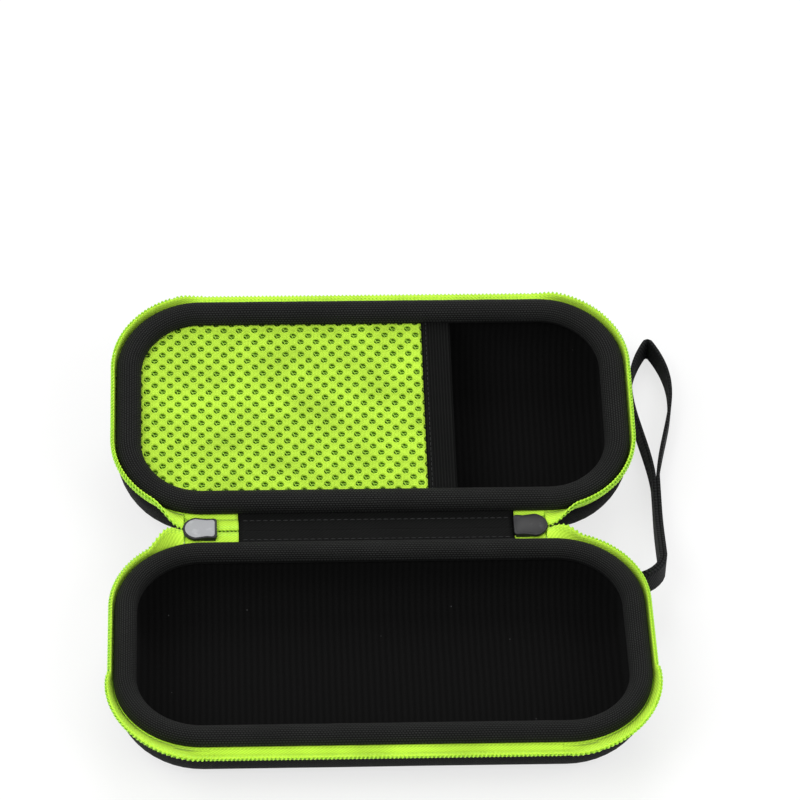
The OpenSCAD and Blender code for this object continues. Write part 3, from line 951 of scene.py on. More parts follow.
@dataclass
class Shell:
    """One moulded shell: cover outside, lining inside, and the padded rim between."""

    half: Half
    layout: Layout
    depth: float
    rounding: float
    power: float = 0.8
    wall: float = 7.6
    thick: float = 4.6
    rim_back: float = 0.25
    rim_w: float = 8.5
    rim_h: float = 6.5
    rim_low: float = 1.4
    rim_foot: float = 0.8
    rim_sides: int = 22
    rim_under: int = 5
    rim_step: float = 1.6
    rim_power: float = 0.7
    rim_lean: float = 0.12
    rim_puff: float = 0.035
    foam_in: float = 3.7
    foam_up: float = 2.5
    foam_thick: float = 2.4
    steps: int = 14

    def side(self, start: float, depth: float) -> list[Pair]:
        """Return a shell's side as distances in and heights, from the seam down.

        Args:
            start: Distance in from the seam at the top.
            depth: Depth of the floor.

        Returns:
            Distance in and height of each point.
        """
        line = []
        for i in range(self.steps + 1):
            t = math.pi / 2 * i / self.steps
            inset = start + (self.rounding - start) * (1 - max(0.0, math.cos(t)) ** self.power)
            line.append((inset, -depth * math.sin(t) ** self.power))
        return line

    def loft(self, draft: Draft, line: list[Pair], shape: Callable[[Vector], Vector]) -> None:
        """Skin a bowl from a side line and the flat floor at its foot.

        Args:
            draft: The mesh to add to.
            line: Distances in and heights, from the seam down.
            shape: Moves each point a little, for wear and crown.
        """
        seam = self.layout.seam
        foot_in, foot_up = line[-1]
        floor = [(foot_in + (seam.width / 2 - foot_in) * k / 7, foot_up) for k in range(1, 8)]
        laid = [foot_in - drop for drop in lengths_along(line[::-1])[::-1]]
        laid += [p[0] for p in floor]
        rows, flat = [], []
        for (inset, up), cut in zip(line + floor, laid):
            ring = [shape(Vector((p.x, p.y, up))) for p in seam.ring(inset)]
            rows.append([self.layout.places[self.half] @ p for p in ring])
            flat.append([(p.x, p.y) for p in seam.ring(cut)])
        draft.grid(rows, lambda i, j: flat[i][j % len(flat[i])], closed=True)

    def make_cover(self) -> None:
        """Mould the cover, its floor a little crowned."""
        draft = Draft()

        def worn(p: Vector) -> Vector:
            """Raise the floor a little, unevenly."""
            low = eased((-p.z / self.depth - 0.4) * 2)
            return p + Vector((0, 0, low * 0.25 * (1 + rough(3.1, p.x / 40, p.y / 40))))

        hem = [(1.6, -0.3), (0.9, 0.1), (0.3, 0.05)]
        self.loft(draft, hem + self.side(0.0, self.depth)[1:], worn)
        piece = draft.build(f"{self.half.value}_cover_skin", COVER_CLOTH, merge=True)
        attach(piece, self.half.value)
        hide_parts(f"{self.half.value}_cover")

    def make_lining(self) -> None:
        """Press the lining in, with soft dimples on its floor."""
        draft = Draft()
        inner = self.depth - self.thick

        def pressed(p: Vector) -> Vector:
            """Dimple the lining."""
            return p + Vector((0, 0, 0.25 * rough(7.7, p.x / 22, p.y / 22)))

        line = [(i + 0.55, u) for i, u in self.side(self.wall, inner)]
        self.loft(draft, [(line[0][0] - 1.2, 1.2), (line[0][0] - 0.3, 0.9)] + line, pressed)
        piece = draft.build(f"{self.half.value}_lining_velvet", VELVET, merge=True)
        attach(piece, self.half.value)
        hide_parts(f"{self.half.value}_lining")

    def make_rim(self) -> None:
        """Stuff the rim band: steep at the zip, rolling in to the lining."""
        seam, place = self.layout.seam, self.layout.places[self.half]
        runs = spread(0, seam.around, self.rim_step)
        over = self.rim_sides - self.rim_under
        rows = []
        for run in runs[:-1]:
            point, out = seam.at(run)
            seed = 11.0 if self.half is Half.BASE else 17.0
            puff = 1 + self.rim_puff * rough(seed, run / 9)
            row = []
            for k in range(self.rim_sides):
                if k <= over:
                    t = math.pi * k / over
                    inset = self.rim_back + self.rim_w / 2 * (1 - math.cos(t))
                    lean = 1 - self.rim_lean * (inset - self.rim_back) / self.rim_w
                    bulge = math.sin(t) ** self.rim_power
                    up = self.rim_low + (self.rim_h - self.rim_low) * bulge * puff * lean
                else:
                    inset = self.rim_back + self.rim_w * (1 - (k - over) / self.rim_under)
                    up = self.rim_foot
                row.append(place @ (point - out * inset + Vector((0, 0, up))))
            rows.append(row)
        draft = Draft()
        draft.grid(rows, lambda i, j: (runs[i], j * 0.75), closed=True, looped=True)
        name = self.half.value
        piece = draft.build(f"{name}_rim_padding", RIM_CLOTH)
        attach(piece, name)
        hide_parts(f"{name}_rim_band")

    def make_foam(self) -> None:
        """Press the foam that stands between the cover and the lining."""
        draft = Draft()
        self.loft(draft, self.side(self.foam_in, self.depth - self.foam_up), lambda p: p)
        name = f"{self.half.value}_foam_wall"
        piece = settle(draft.build(name, FOAM, merge=True, thick=self.foam_thick))
        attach(piece, self.half.value)
        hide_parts(f"{self.half.value}_foam")

    def make(self) -> None:
        """Make the whole shell."""
        self.make_cover()
        self.make_foam()
        self.make_lining()
        self.make_rim()


# Zip


class Zone(Enum):
    """Stretches of a shell's zip, by what they follow when the case shuts."""

    REAR_RIGHT = "rear_right"
    END_RIGHT = "end_right"
    ARC_RIGHT = "arc_right"
    CORNER_RIGHT = "corner_right"
    FRONT = "front"
    CORNER_LEFT = "corner_left"
    ARC_LEFT = "arc_left"
    END_LEFT = "end_left"
    REAR_LEFT = "rear_left"


@dataclass
class ZipHalf:
    """Tape and coil of one shell, from the hinge round the front and back."""

    half: Half
    layout: Layout
    phase: float = 0.0
    rear_right: float = 64.6
    rear_left: float = 73.1
    twist: float = 13.0
    front_flat: float = 64.0
    front_turn: float = 76.0
    front_reach: float = 84.0
    fan: float = 64.0
    fan_power: float = 0.6
    longer: float = 0.42
    upright: float = 75.0
    arc_parts: int = 5
    foot_parts: int = 4
    tape_lap: float = 0.25
    foot_lap: float = 0.3
    sewn: Pair = (4.2, 5.15)
    hinge_edge: float = 52.4
    ripple: float = 0.13
    tape: tuple[Pair, ...] = (
        (-2.6, 0.35),
        (-1.2, 0.4),
        (-0.1, 0.42),
        (0.25, 1.1),
        (0.5, 2.2),
        (0.65, 3.2),
        (0.75, 4.2),
        (0.8, 6.1),
    )
    coil_low: float = 3.45
    coil_high: float = 6.75
    coil_out: float = 1.2

    def stretches(self) -> list[tuple[Zone, float, float]]:
        """Return each stretch with where it starts and ends along the seam."""
        seam = self.layout.seam
        tip = seam.length / 2
        arc = [seam.run_at(tip, False), seam.run_at(self.front_turn, False)]
        count = self.arc_parts
        starts = [arc[0] + (arc[1] - arc[0]) * k / count for k in range(count)]
        marks = [
            (Zone.REAR_RIGHT, seam.run_at(self.rear_right, True)),
            (Zone.END_RIGHT, seam.run_at(self.rear_right + self.twist, True)),
            *((Zone.ARC_RIGHT, run) for run in starts),
            (Zone.CORNER_RIGHT, arc[1]),
            (Zone.FRONT, seam.run_at(self.front_flat, False)),
            (Zone.CORNER_LEFT, seam.run_at(-self.front_flat, False)),
            *((Zone.ARC_LEFT, seam.around - run) for run in (arc[1], *starts[:0:-1])),
            (Zone.END_LEFT, seam.around - arc[0]),
            (Zone.REAR_LEFT, seam.run_at(-self.rear_left - self.twist, True)),
        ]
        ends = [run for _, run in marks[1:]] + [seam.run_at(-self.rear_left, True)]
        return [(zone, low, high) for (zone, low), high in zip(marks, ends)]

    def bend_at(self, x: float, front: bool) -> tuple[float, Bend]:
        """Return how much of a joint's turn reaches a place, and that bend.

        Args:
            x: The place along X.
            front: Whether it is at the front.

        Returns:
            The share, 0 to 1, and the bend as seen from the shell.
        """
        bends = self.layout.bends
        if front:
            share = eased((self.front_turn - abs(x)) / (self.front_turn - self.front_flat))
            return share, bends[f"{self.half.value}_flap"]
        start = self.rear_right if x > 0 else self.rear_left
        share = eased((start + self.twist - abs(x)) / self.twist)
        if self.half is Half.BASE:
            return share, bends["fold"]
        bend = bends["lid_fold"]
        return share, Bend(bend.point, bend.axis, -bend.turn)

    def lay(self, run: float, out: float, up: float) -> Vector:
        """Return where a point of the zip's section lies at rest.

        Args:
            run: Distance along the seam.
            out: Distance out from the seam when shut.
            up: Height over the shell's edge when shut.

        Returns:
            The point in metres.
        """
        point, away = self.layout.seam.at(run)
        matrix = self.layout.places[self.half]

        def shut(o: float, u: float) -> Vector:
            """Return where a point of the section lies when the case is shut."""
            return matrix @ (point + away * o + Vector((0, 0, u)))

        if out <= 0:
            return shut(out, up)
        share, bend = self.bend_at(point.x, front=point.y < 0)
        foot = self.tape[2][1]
        beyond = (abs(point.x) - self.layout.seam.length / 2) / self.layout.seam.radius + 1
        if point.y < 0 and 0 < beyond and share < 1:
            part = (1 - math.asin(min(1.0, beyond)) / math.radians(90)) ** self.fan_power
            a, rise = math.radians(self.fan) * part, (up - foot) * (1 + self.longer * part**2)
            fanned = shut(
                out * math.cos(a) + rise * math.sin(a),
                foot + rise * math.cos(a) - out * math.sin(a),
            )
            return fanned.lerp(self.fold_out(shut, bend, out, up, 1.0), share)
        return self.fold_out(shut, bend, out, up, share) if share else shut(out, up)

    def fold_out(self, shut: Place, bend: Bend, out: float, up: float, share: float) -> Vector:
        """Return where a point of the section lies once its joint opens, its foot held.

        Args:
            shut: Places a point of the section of the shut case.
            bend: The joint that opens.
            out: Distance out from the seam when shut.
            up: Height over the shell's edge when shut.
            share: How much of the joint's turn reaches the point.

        Returns:
            The point in metres.
        """
        turned = bend.open_out(shut(out, up), share)
        foot_out, foot_up = self.tape[5]
        if up >= foot_up:
            return turned
        low = self.tape[2][1]
        part = (up - low) / (foot_up - low)
        chord = shut(0, low).lerp(bend.open_out(shut(foot_out, foot_up), share), part)
        return turned.lerp(chord, share)

    def raise_arc(self, piece: Piece, run: float) -> None:
        """Give a stretch in a front corner a mesh of its own.

        Args:
            piece: The stretch's tape, coil or stitches.
            run: The middle of the stretch along the seam.
        """
        point, away = self.layout.seam.at(run)
        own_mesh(piece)

    def carry(
        self,
        piece: Piece,
        zone: Zone,
        low: float,
        high: float,
        node: str,
    ) -> None:
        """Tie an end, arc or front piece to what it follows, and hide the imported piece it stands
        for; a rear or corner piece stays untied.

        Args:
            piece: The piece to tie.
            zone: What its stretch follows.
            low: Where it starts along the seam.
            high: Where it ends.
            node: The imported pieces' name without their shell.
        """
        name = self.half.value
        shift = self.layout.places[self.half].translation.x
        if zone in (Zone.END_RIGHT, Zone.END_LEFT, Zone.ARC_RIGHT, Zone.ARC_LEFT):
            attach(piece, name)
            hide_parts(f"{name}_{node}")
            if "arc" in zone.value:
                self.raise_arc(piece, (low + high) / 2)
        elif zone is Zone.FRONT:
            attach(piece, f"{name}_front")
            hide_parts(f"{name}_front_{node}")
        else:
            sign = 1 if "right" in zone.value else -1
            if "corner" in zone.value:
                other, marks = f"{name}_front", (self.front_reach, self.front_flat)
            else:
                begin = self.rear_right if sign > 0 else self.rear_left
                other, marks = "spine", (begin + self.twist, begin)
            start, end = (Vector((shift + sign * m * MM, 0, 0)) for m in marks)
            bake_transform(piece)
            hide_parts(f"{name}_corner_{node}s")

    def weave(
        self, name: str, low: float, high: float, section: Sequence[Pair], step: float
    ) -> Piece:
        """Weave a strip of tape along part of the seam.

        Args:
            name: The piece's name.
            low: Where it starts along the seam.
            high: Where it ends.
            section: Its points across, each out from the seam and up when shut.
            step: Distance between its rows of points.

        Returns:
            The piece.
        """
        runs = spread(low, high, step)
        across = lengths_along(section)
        rows = []
        for run in runs:
            swell = self.ripple * math.cos(math.tau * (run / PITCH - self.phase))
            rows.append([self.lay(run, o + (swell if u > 4 else 0), u) for o, u in section])
        draft = Draft()
        draft.grid(rows, lambda i, j: (runs[i], across[j]))
        return settle(draft.build(f"{self.half.value}_{name}", TAPE_CLOTH, thick=TAPE_THICK))

    def make_hem(self) -> None:
        """Sew the tape's hem round the shell's edge, where it stays still."""
        runs = self.stretches()
        hem = self.weave("hem", runs[0][1], runs[-1][2], self.tape[:3], 1.5)
        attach(hem, self.half.value)

    def make_tape(self, label: str, zone: Zone, low: float, high: float) -> None:
        """Weave one stretch of the tape's free part.

        Args:
            label: Tells the stretch's pieces apart.
            zone: What the stretch follows.
            low: Where it starts along the seam.
            high: Where it ends.
        """
        name = self.half.value
        section = self.tape[3:] if "corner" in zone.value else self.tape[2:]
        begin, end = low - self.tape_lap, high + self.tape_lap
        piece = self.weave(f"tape_{label}", begin, end, section, PITCH / 4)
        if zone is not Zone.FRONT:
            self.carry(piece, zone, low, high, "tape")
        else:
            edge = self.lay((low + high) / 2, 0.0, self.tape[2][1])
            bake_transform(piece)
            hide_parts(f"{name}_front_tape")
        if "corner" in zone.value:
            self.make_feet(label, low, high)

    def make_feet(self, label: str, low: float, high: float) -> None:
        """Bridge a front corner's still hem and its turning tape, in short strips.

        Args:
            label: Tells the stretch's pieces apart.
            low: Where it starts along the seam.
            high: Where it ends.
        """
        count, name = self.foot_parts, self.half.value
        span = self.front_reach - self.front_flat
        for k in range(count):
            begin, end = (low + (high - low) * (k + e) / count for e in (0, 1))
            middle = (begin + end) / 2
            begin, end = begin - self.foot_lap, end + self.foot_lap
            strip = self.weave(f"foot_{label}_{k}", begin, end, self.tape[2:4], 1.0)
            near, far = (self.lay(middle, o, u) for o, u in self.tape[2:4])
            share = (self.front_reach - abs(self.layout.seam.at(middle)[0].x)) / span
            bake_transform(strip)
            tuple(near)

    def make_coil(self, label: str, zone: Zone, low: float, high: float) -> None:
        """Wind one stretch of the coil, a turn each pitch.

        Args:
            label: Tells the stretch's pieces apart.
            zone: What the stretch follows.
            low: Where it starts along the seam.
            high: Where it ends.
        """
        turns = max(1, round((high - low) / PITCH))
        middle = (self.coil_low + self.coil_high) / 2
        reach = (self.coil_high - self.coil_low) / 2 - WIRE
        route = []
        first = math.ceil(low / PITCH + self.phase) - self.phase
        for k in range(turns * TURN_STEPS + 1):
            run = (first + k / TURN_STEPS) * PITCH
            if run > high + 0.01:
                break
            across, off = coil_turn(k)
            up = middle + reach * across
            route.append(self.lay(run, self.coil_out + COIL_HALF * off, up))
        draft = Draft()
        draft.tube(route, WIRE)
        piece = draft.build(f"{self.half.value}_coil_{label}", COIL)
        self.carry(piece, zone, low, high, "coil")

    def make_threads(self, label: str, zone: Zone, low: float, high: float) -> None:
        """Sew the coil down: two rows of stitches, seen on both faces.

        Args:
            label: Tells the stretch's pieces apart.
            zone: What the stretch follows.
            low: Where it starts along the seam.
            high: Where it ends.
        """
        draft = Draft()
        for up in self.sewn:
            for out, dip in ((self.coil_out + COIL_HALF + 0.3, -0.3), (0.5, 0.25)):
                route = []
                for k in range(int((high - low) / PITCH * STITCH_STEPS) + 1):
                    run = low + k * PITCH / STITCH_STEPS
                    route.append(self.lay(run, out + dip * stitch_dip(k), up))
                draft.tube(route, STITCH, sides=5)
        piece = draft.build(f"{self.half.value}_stitches_{label}", LIME_THREAD)
        self.carry(piece, zone, low, high, "coil")

    def make_hinge_edge(self) -> None:
        """Lay the flat tape between the hinge's ribbon and the turned corners."""
        seam, matrix = self.layout.seam, self.layout.places[self.half]
        up = Vector((0, 0, self.tape[2][1]))
        outs = (-2.6, -1.0, 0.4, self.layout.coil_out)
        for side, stop in ((Side.RIGHT, self.rear_right), (Side.LEFT, self.rear_left)):
            rows = []
            for x in spread(self.hinge_edge, stop, 2.0):
                point, away = seam.at(seam.run_at(side.value * x, True))
                rows.append([matrix @ (point + away * out + up) for out in outs])
            draft = Draft()
            draft.grid(rows, lambda i, j: (i * 2.0, j * 1.5))
            name = f"{self.half.value}_hinge_edge_{side.name.lower()}"
            piece = settle(draft.build(name, TAPE_CLOTH, thick=TAPE_THICK))
            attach(piece, self.half.value)

    def make(self) -> None:
        """Make the hem, and every stretch of the tape and coil."""
        self.make_hem()
        for i, (zone, low, high) in enumerate(self.stretches()):
            label = f"{i}_{zone.value}"
            self.make_tape(label, zone, low, high)
            self.make_coil(label, zone, low, high)
            self.make_threads(label, zone, low, high)
        self.make_hinge_edge()


# Hinge, sliders and pulls


@dataclass
class Hinge:
    """Twill ribbon that joins the shells, with the zip's joined ends on either side."""

    layout: Layout
    ribbon_half: float = 52.0
    tuck: float = 2.0
    thick: float = 0.8
    stub_left: float = 72.8
    stub_right: float = 64.3
    rise: float = 0.42
    fold_near: float = 0.8
    fold_far: float = 1.6
    edge_sewn: float = 1.3
    stub_middle: float = 4.78
    stub_reach: float = 1.38
    stub_up: float = -0.3
    stub_sewn: Pair = (3.95, 4.95)
    stub_tape: tuple[Pair, ...] = (
        (-0.2, 0.05),
        (1.0, 0.2),
        (2.2, 0.4),
        (3.2, 0.45),
        (4.4, 0.45),
        (5.85, 0.45),
    )

    def on_link(self, x: float, y: float, z: float) -> Vector:
        """Return a point of the link: along the hinge, away from the base, and up."""
        return self.layout.link @ Vector((x, y, z))

    def path(self, half: Half, x: float) -> list[Vector]:
        """Return the ribbon's line from a shell's rim to the link's middle.

        Args:
            half: The shell it starts from.
            x: The place along the hinge.

        Returns:
            The line's points in metres.
        """
        lay = self.layout
        middle = lay.link_w / 2
        edge = lay.seam.width / 2
        sag = 0.25 + 0.12 * rough(5.5, x / 14)
        line = []
        for k in range(5):
            out = -self.tuck + (self.tuck + lay.coil_out - self.fold_near) * k / 4
            line.append(lay.places[half] @ Vector((x, edge + out, lay.seam_up + self.rise)))
        for k in range(1, 9):
            t = k / 8
            y = self.fold_near + (middle - self.fold_near) * t
            if half is Half.LID:
                y = lay.link_w - y
            line.append(self.on_link(x, y, self.rise - sag * eased(t)))
        return line

    def make_ribbon(self, half: Half) -> None:
        """Weave the ribbon's half next to one shell.

        Args:
            half: The shell it is sewn to.
        """
        xs = spread(-self.ribbon_half, self.ribbon_half, 2.0)
        rows = [self.path(half, x) for x in xs]
        lengths = lengths_along(rows[0], MM)
        sign = 1 if half is Half.BASE else -1
        draft = Draft()
        draft.grid(rows, lambda i, j: (xs[i], sign * lengths[j]))
        piece = settle(draft.build(f"hinge_ribbon_{half.value}", RIBBON_CLOTH, thick=self.thick))
        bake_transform(piece)
        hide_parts("hinge_ribbon", "hinge_strip")

    def make_stitches(self) -> None:
        """Sew the ribbon down beside each shell."""
        draft = Draft()
        shape = ((0, 0.7), (0.4, 0.95), (1.3, 0.95), (1.7, 0.7))
        for y in (self.edge_sewn, self.layout.link_w - self.edge_sewn):
            for x in spread(-self.ribbon_half + 1.5, self.ribbon_half - 3.5, 2.6):
                draft.tube([self.on_link(x + s, y, z) for s, z in shape], 0.2, sides=5)
        piece = draft.build("hinge_stitches", BLACK_THREAD)
        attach(piece, "spine")

    def make_stub(self, side: Side) -> None:
        """Lay the zip's joined end beside the ribbon: tape, coil and stitches.

        Args:
            side: Which end of the hinge.
        """
        stop = self.stub_left if side is Side.LEFT else self.stub_right
        xs = [side.value * x for x in spread(self.ribbon_half + 0.3, stop, 1.5)]
        low, high = sorted((xs[0], xs[-1]))
        stitches = int((high - low) / PITCH * STITCH_STEPS) + 1
        tape, coil, thread = Draft(), Draft(), Draft()
        for turned in (False, True):

            def at(x: float, y: float, z: float) -> Vector:
                """Return a point of this half of the joined end."""
                return self.on_link(x, self.layout.link_w - y if turned else y, z)

            rows = []
            for i, x in enumerate(xs):
                ragged = 0 if i else side.value * 0.25
                section = self.stub_tape
                rows.append([at(x + ragged * rough(9.0, y * 2.0), y, z) for y, z in section])
            tape.grid(rows, lambda i, j: (xs[i], j * 1.1))
            route = []
            for k in range(int((high - low) / PITCH * TURN_STEPS)):
                across, off = coil_turn(k)
                x = low + (k / TURN_STEPS + (0.5 if turned else 0.0)) * PITCH
                if x < high:
                    y = self.stub_middle + self.stub_reach * across
                    route.append(at(x, y, self.stub_up - COIL_HALF * off))
            coil.tube(route, WIRE)
            for y in self.stub_sewn:
                for z, dip in ((0.76, -0.22), (-0.9, 0.3)):
                    route = []
                    for k in range(stitches):
                        x = low + k * PITCH / STITCH_STEPS
                        route.append(at(x, y, z + dip * stitch_dip(k)))
                    thread.tube(route, STITCH, sides=5)
        name = side.name.lower()
        for draft, label, finish, node, slot, thick in (
            (tape, "tapes", TAPE_CLOTH, "stub_tapes", "lime_tape", TAPE_THICK),
            (coil, "coils", COIL, "stub_coils", "lime_coil", 0.0),
            (thread, "stitches", LIME_THREAD, "stub_coils", "lime_coil", 0.0),
        ):
            piece = settle(draft.build(f"stub_{label}_{name}", finish, thick=thick))
            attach(piece, "spine")
            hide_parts(node)

    def make(self) -> None:
        """Make the ribbon and the zip's joined ends."""
        for half in Half:
            self.make_ribbon(half)
        self.make_stitches()
        for side in Side:
            self.make_stub(side)


@dataclass
class Slider:
    """One zip slider with its wire bail and folded pull, in the link's frame."""

    side: Side
    layout: Layout
    nose: float
    face: Finish
    radius: float = 5.9
    length: float = 13.0
    half_w: float = 5.3
    gap: float = 1.2
    plate: float = 1.2
    wire: float = 0.6
    wire_half: float = 2.5
    wire_l: float = 8.0
    tab_w: float = 8.4
    tab_l: float = 15.0
    arch: tuple[Pair, ...] = (
        (-0.9, -0.6),
        (-1.0, -2.2),
        (0.2, -3.4),
        (3.4, -4.9),
        (6.4, -5.1),
        (9.0, -4.6),
        (10.6, -3.2),
        (10.8, -2.2),
    )

    def at(self, x: float, y: float, z: float) -> Vector:
        """Return a point from its distance behind the nose, across, and up."""
        across = self.layout.link_w / 2 + y
        return self.layout.link @ Vector((self.side.value * (self.nose - x), across, z))

    def outline(self, less: float = 0.0) -> list[Pair]:
        """Return the plate's bell outline, drawn in by a margin.

        Args:
            less: How far the outline is drawn in.

        Returns:
            Its points, behind the nose and across.
        """
        r = self.radius - less
        points = []
        for k in range(17):
            a = math.radians(102 + 156 * k / 16)
            points.append((self.radius + r * math.cos(a), r * math.sin(a)))
        tail, w = self.length - less, self.half_w - less
        points += [(self.radius + 3.4, -w + 0.25), (tail - 1.2, -w), (tail - 0.3, -w + 0.35)]
        points += [(tail, -w + 1.3), (tail, w - 1.3)]
        points += [(tail - 0.3, w - 0.35), (tail - 1.2, w), (self.radius + 3.4, w - 0.25)]
        return points

    def prism(self, draft: Draft, outline: Sequence[Pair], low: float, high: float) -> None:
        """Add a flat plate of an outline, from one height to another.

        Args:
            draft: The mesh to add to.
            outline: Points behind the nose and across.
            low: Height of one face.
            high: Height of the other.
        """
        rows = [[self.at(x, y, z) for x, y in outline] for z in (low, high)]
        draft.grid(rows, lambda i, j: (j * 1.0, i * 1.0), closed=True, capped=True)

    def finish_part(
        self, draft: Draft, name: str, finish: Finish, round_by: float, body: str
    ) -> Piece:
        """Round a part's edges, dress it and let it ride.

        Args:
            draft: The part's mesh.
            name: Its name, without the side.
            finish: Its surface.
            round_by: Radius of its edges, or 0.
            body: What it rides on, without the side.

        Returns:
            The part.
        """
        piece = draft.build(f"{name}_{self.side.name.lower()}", finish)
        if round_by:
            edge = piece.modifiers.new("edge", "BEVEL")
            edge.width, edge.segments = round_by * MM, 3
            edge.limit_method, edge.angle_limit = "ANGLE", math.radians(40)
        settle(piece)
        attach(piece, f"{body}_{self.side.name.lower()}")
        return piece

    def make_body(self) -> None:
        """Cast the two plates, their bridge, side walls and bail."""
        draft = Draft()
        side = self.side.name.lower()
        top = self.gap + self.plate
        self.prism(draft, self.outline(), self.gap, top)
        self.prism(draft, self.outline(), -top, -self.gap)
        bridge = [(2.2, 0), (3.4, -1.2), (4.9, 0), (3.4, 1.2)]
        self.prism(draft, bridge, -self.gap - 0.1, self.gap + 0.1)
        for s in (-1, 1):
            inner, outer = s * (self.half_w - 0.8), s * self.half_w
            ahead, behind = self.radius + 1, self.length - 0.6
            wall = [(ahead, inner), (behind, inner), (behind, outer), (ahead, outer)]
            self.prism(draft, wall, 0.75, self.gap + 0.1)
            self.prism(draft, wall, -self.gap - 0.1, -0.75)
        rows = []
        for i, (x, z) in enumerate(self.arch):
            before, after = self.arch[max(i - 1, 0)], self.arch[min(i + 1, len(self.arch) - 1)]
            way = Vector(after) - Vector(before)
            n = Vector((-way.y, way.x)).normalized() * 0.45
            corners = ((-1, -1), (-1, 1), (1, 1), (1, -1))
            rows.append([self.at(x + s * n.x, y, z + s * n.y) for s, y in corners])
        draft.grid(rows, lambda i, j: (i * 1.0, j * 1.0), closed=True, capped=True)
        body = self.finish_part(draft, "slider_body", BLACK_ENAMEL, 0.28, "slider")
        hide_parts(f"slider_{side}")
        faces = Draft()
        self.prism(faces, self.outline(0.85), top - 0.3, top + 0.07)
        self.prism(faces, self.outline(0.85), -top - 0.07, -top + 0.3)
        face = self.finish_part(faces, "slider_face", self.face, 0.16, "slider")

    def make_pull(self) -> None:
        """Bend the bail's wire, and fold webbing over it."""
        side = self.side.name.lower()
        x0, z0 = self.radius + 1.2, -(self.gap + self.plate + 1.35)
        loop = []
        r = 1.1
        for cx, cy, start in (
            (self.wire_l - r, self.wire_half - r, 90),
            (self.wire_l - r, -self.wire_half + r, 0),
            (r, -self.wire_half + r, -90),
            (r, self.wire_half - r, -180),
        ):
            for k in range(6):
                a = math.radians(start - 90 * k / 5)
                loop.append(self.at(x0 + cx + r * math.cos(a), cy + r * math.sin(a), z0))
        loop.append(loop[0])
        wire = Draft()
        wire.tube(loop, self.wire, sides=10)
        piece = self.finish_part(wire, "pull_loop", BLACK_ENAMEL, 0.0, "pull")
        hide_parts(f"pull_wire_{side}")
        fold = self.wire + 0.75
        line = [(self.tab_l, 0.5), (self.tab_l * 0.6, 0.5), (3.2, 0.5), (1.8, 0.9)]
        turns = [math.radians(a) for a in range(50, 311, 20)]
        line += [(fold * math.cos(a), fold * math.sin(a)) for a in turns]
        line += [(1.8, -0.9), (3.2, -0.5), (self.tab_l * 0.6, -0.5), (self.tab_l, -0.5)]
        ys = spread(-self.tab_w / 2, self.tab_w / 2, 1.2)
        rows = [[self.at(x0 + self.wire_l + x, y, z0 + z) for y in ys] for x, z in line]
        tab = Draft()
        tab.grid(rows, lambda i, j: (i * 1.4, ys[j]))
        piece = settle(tab.build(f"pull_webbing_{side}", WEBBING_CLOTH, thick=0.85))
        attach(piece, f"pull_{side}")
        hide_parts(f"pull_tab_{side}")
        sewn = Draft()
        box = [(4.0, -3.2), (4.0, 3.2), (13.4, 3.2), (13.4, -3.2), (4.0, -3.2)]
        shape = ((0.15, 0.85), (0.35, 1.0), (0.65, 1.0), (0.85, 0.85))
        for (a, b), (c, d) in zip(box, box[1:]):
            count = max(1, round(math.hypot(c - a, d - b) / 1.6))
            for k in range(count):
                stitch = [((k + t) / count, h) for t, h in shape]
                for s in (-1, 1):
                    route = [
                        self.at(x0 + self.wire_l + a + (c - a) * t, b + (d - b) * t, z0 + s * h)
                        for t, h in stitch
                    ]
                    sewn.tube(route, 0.14, sides=5)
        piece = sewn.build(f"pull_stitches_{side}", BLACK_THREAD)
        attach(piece, f"pull_{side}")

    def make(self) -> None:
        """Make the slider and its pull."""
        self.make_body()
        self.make_pull()


# Pocket


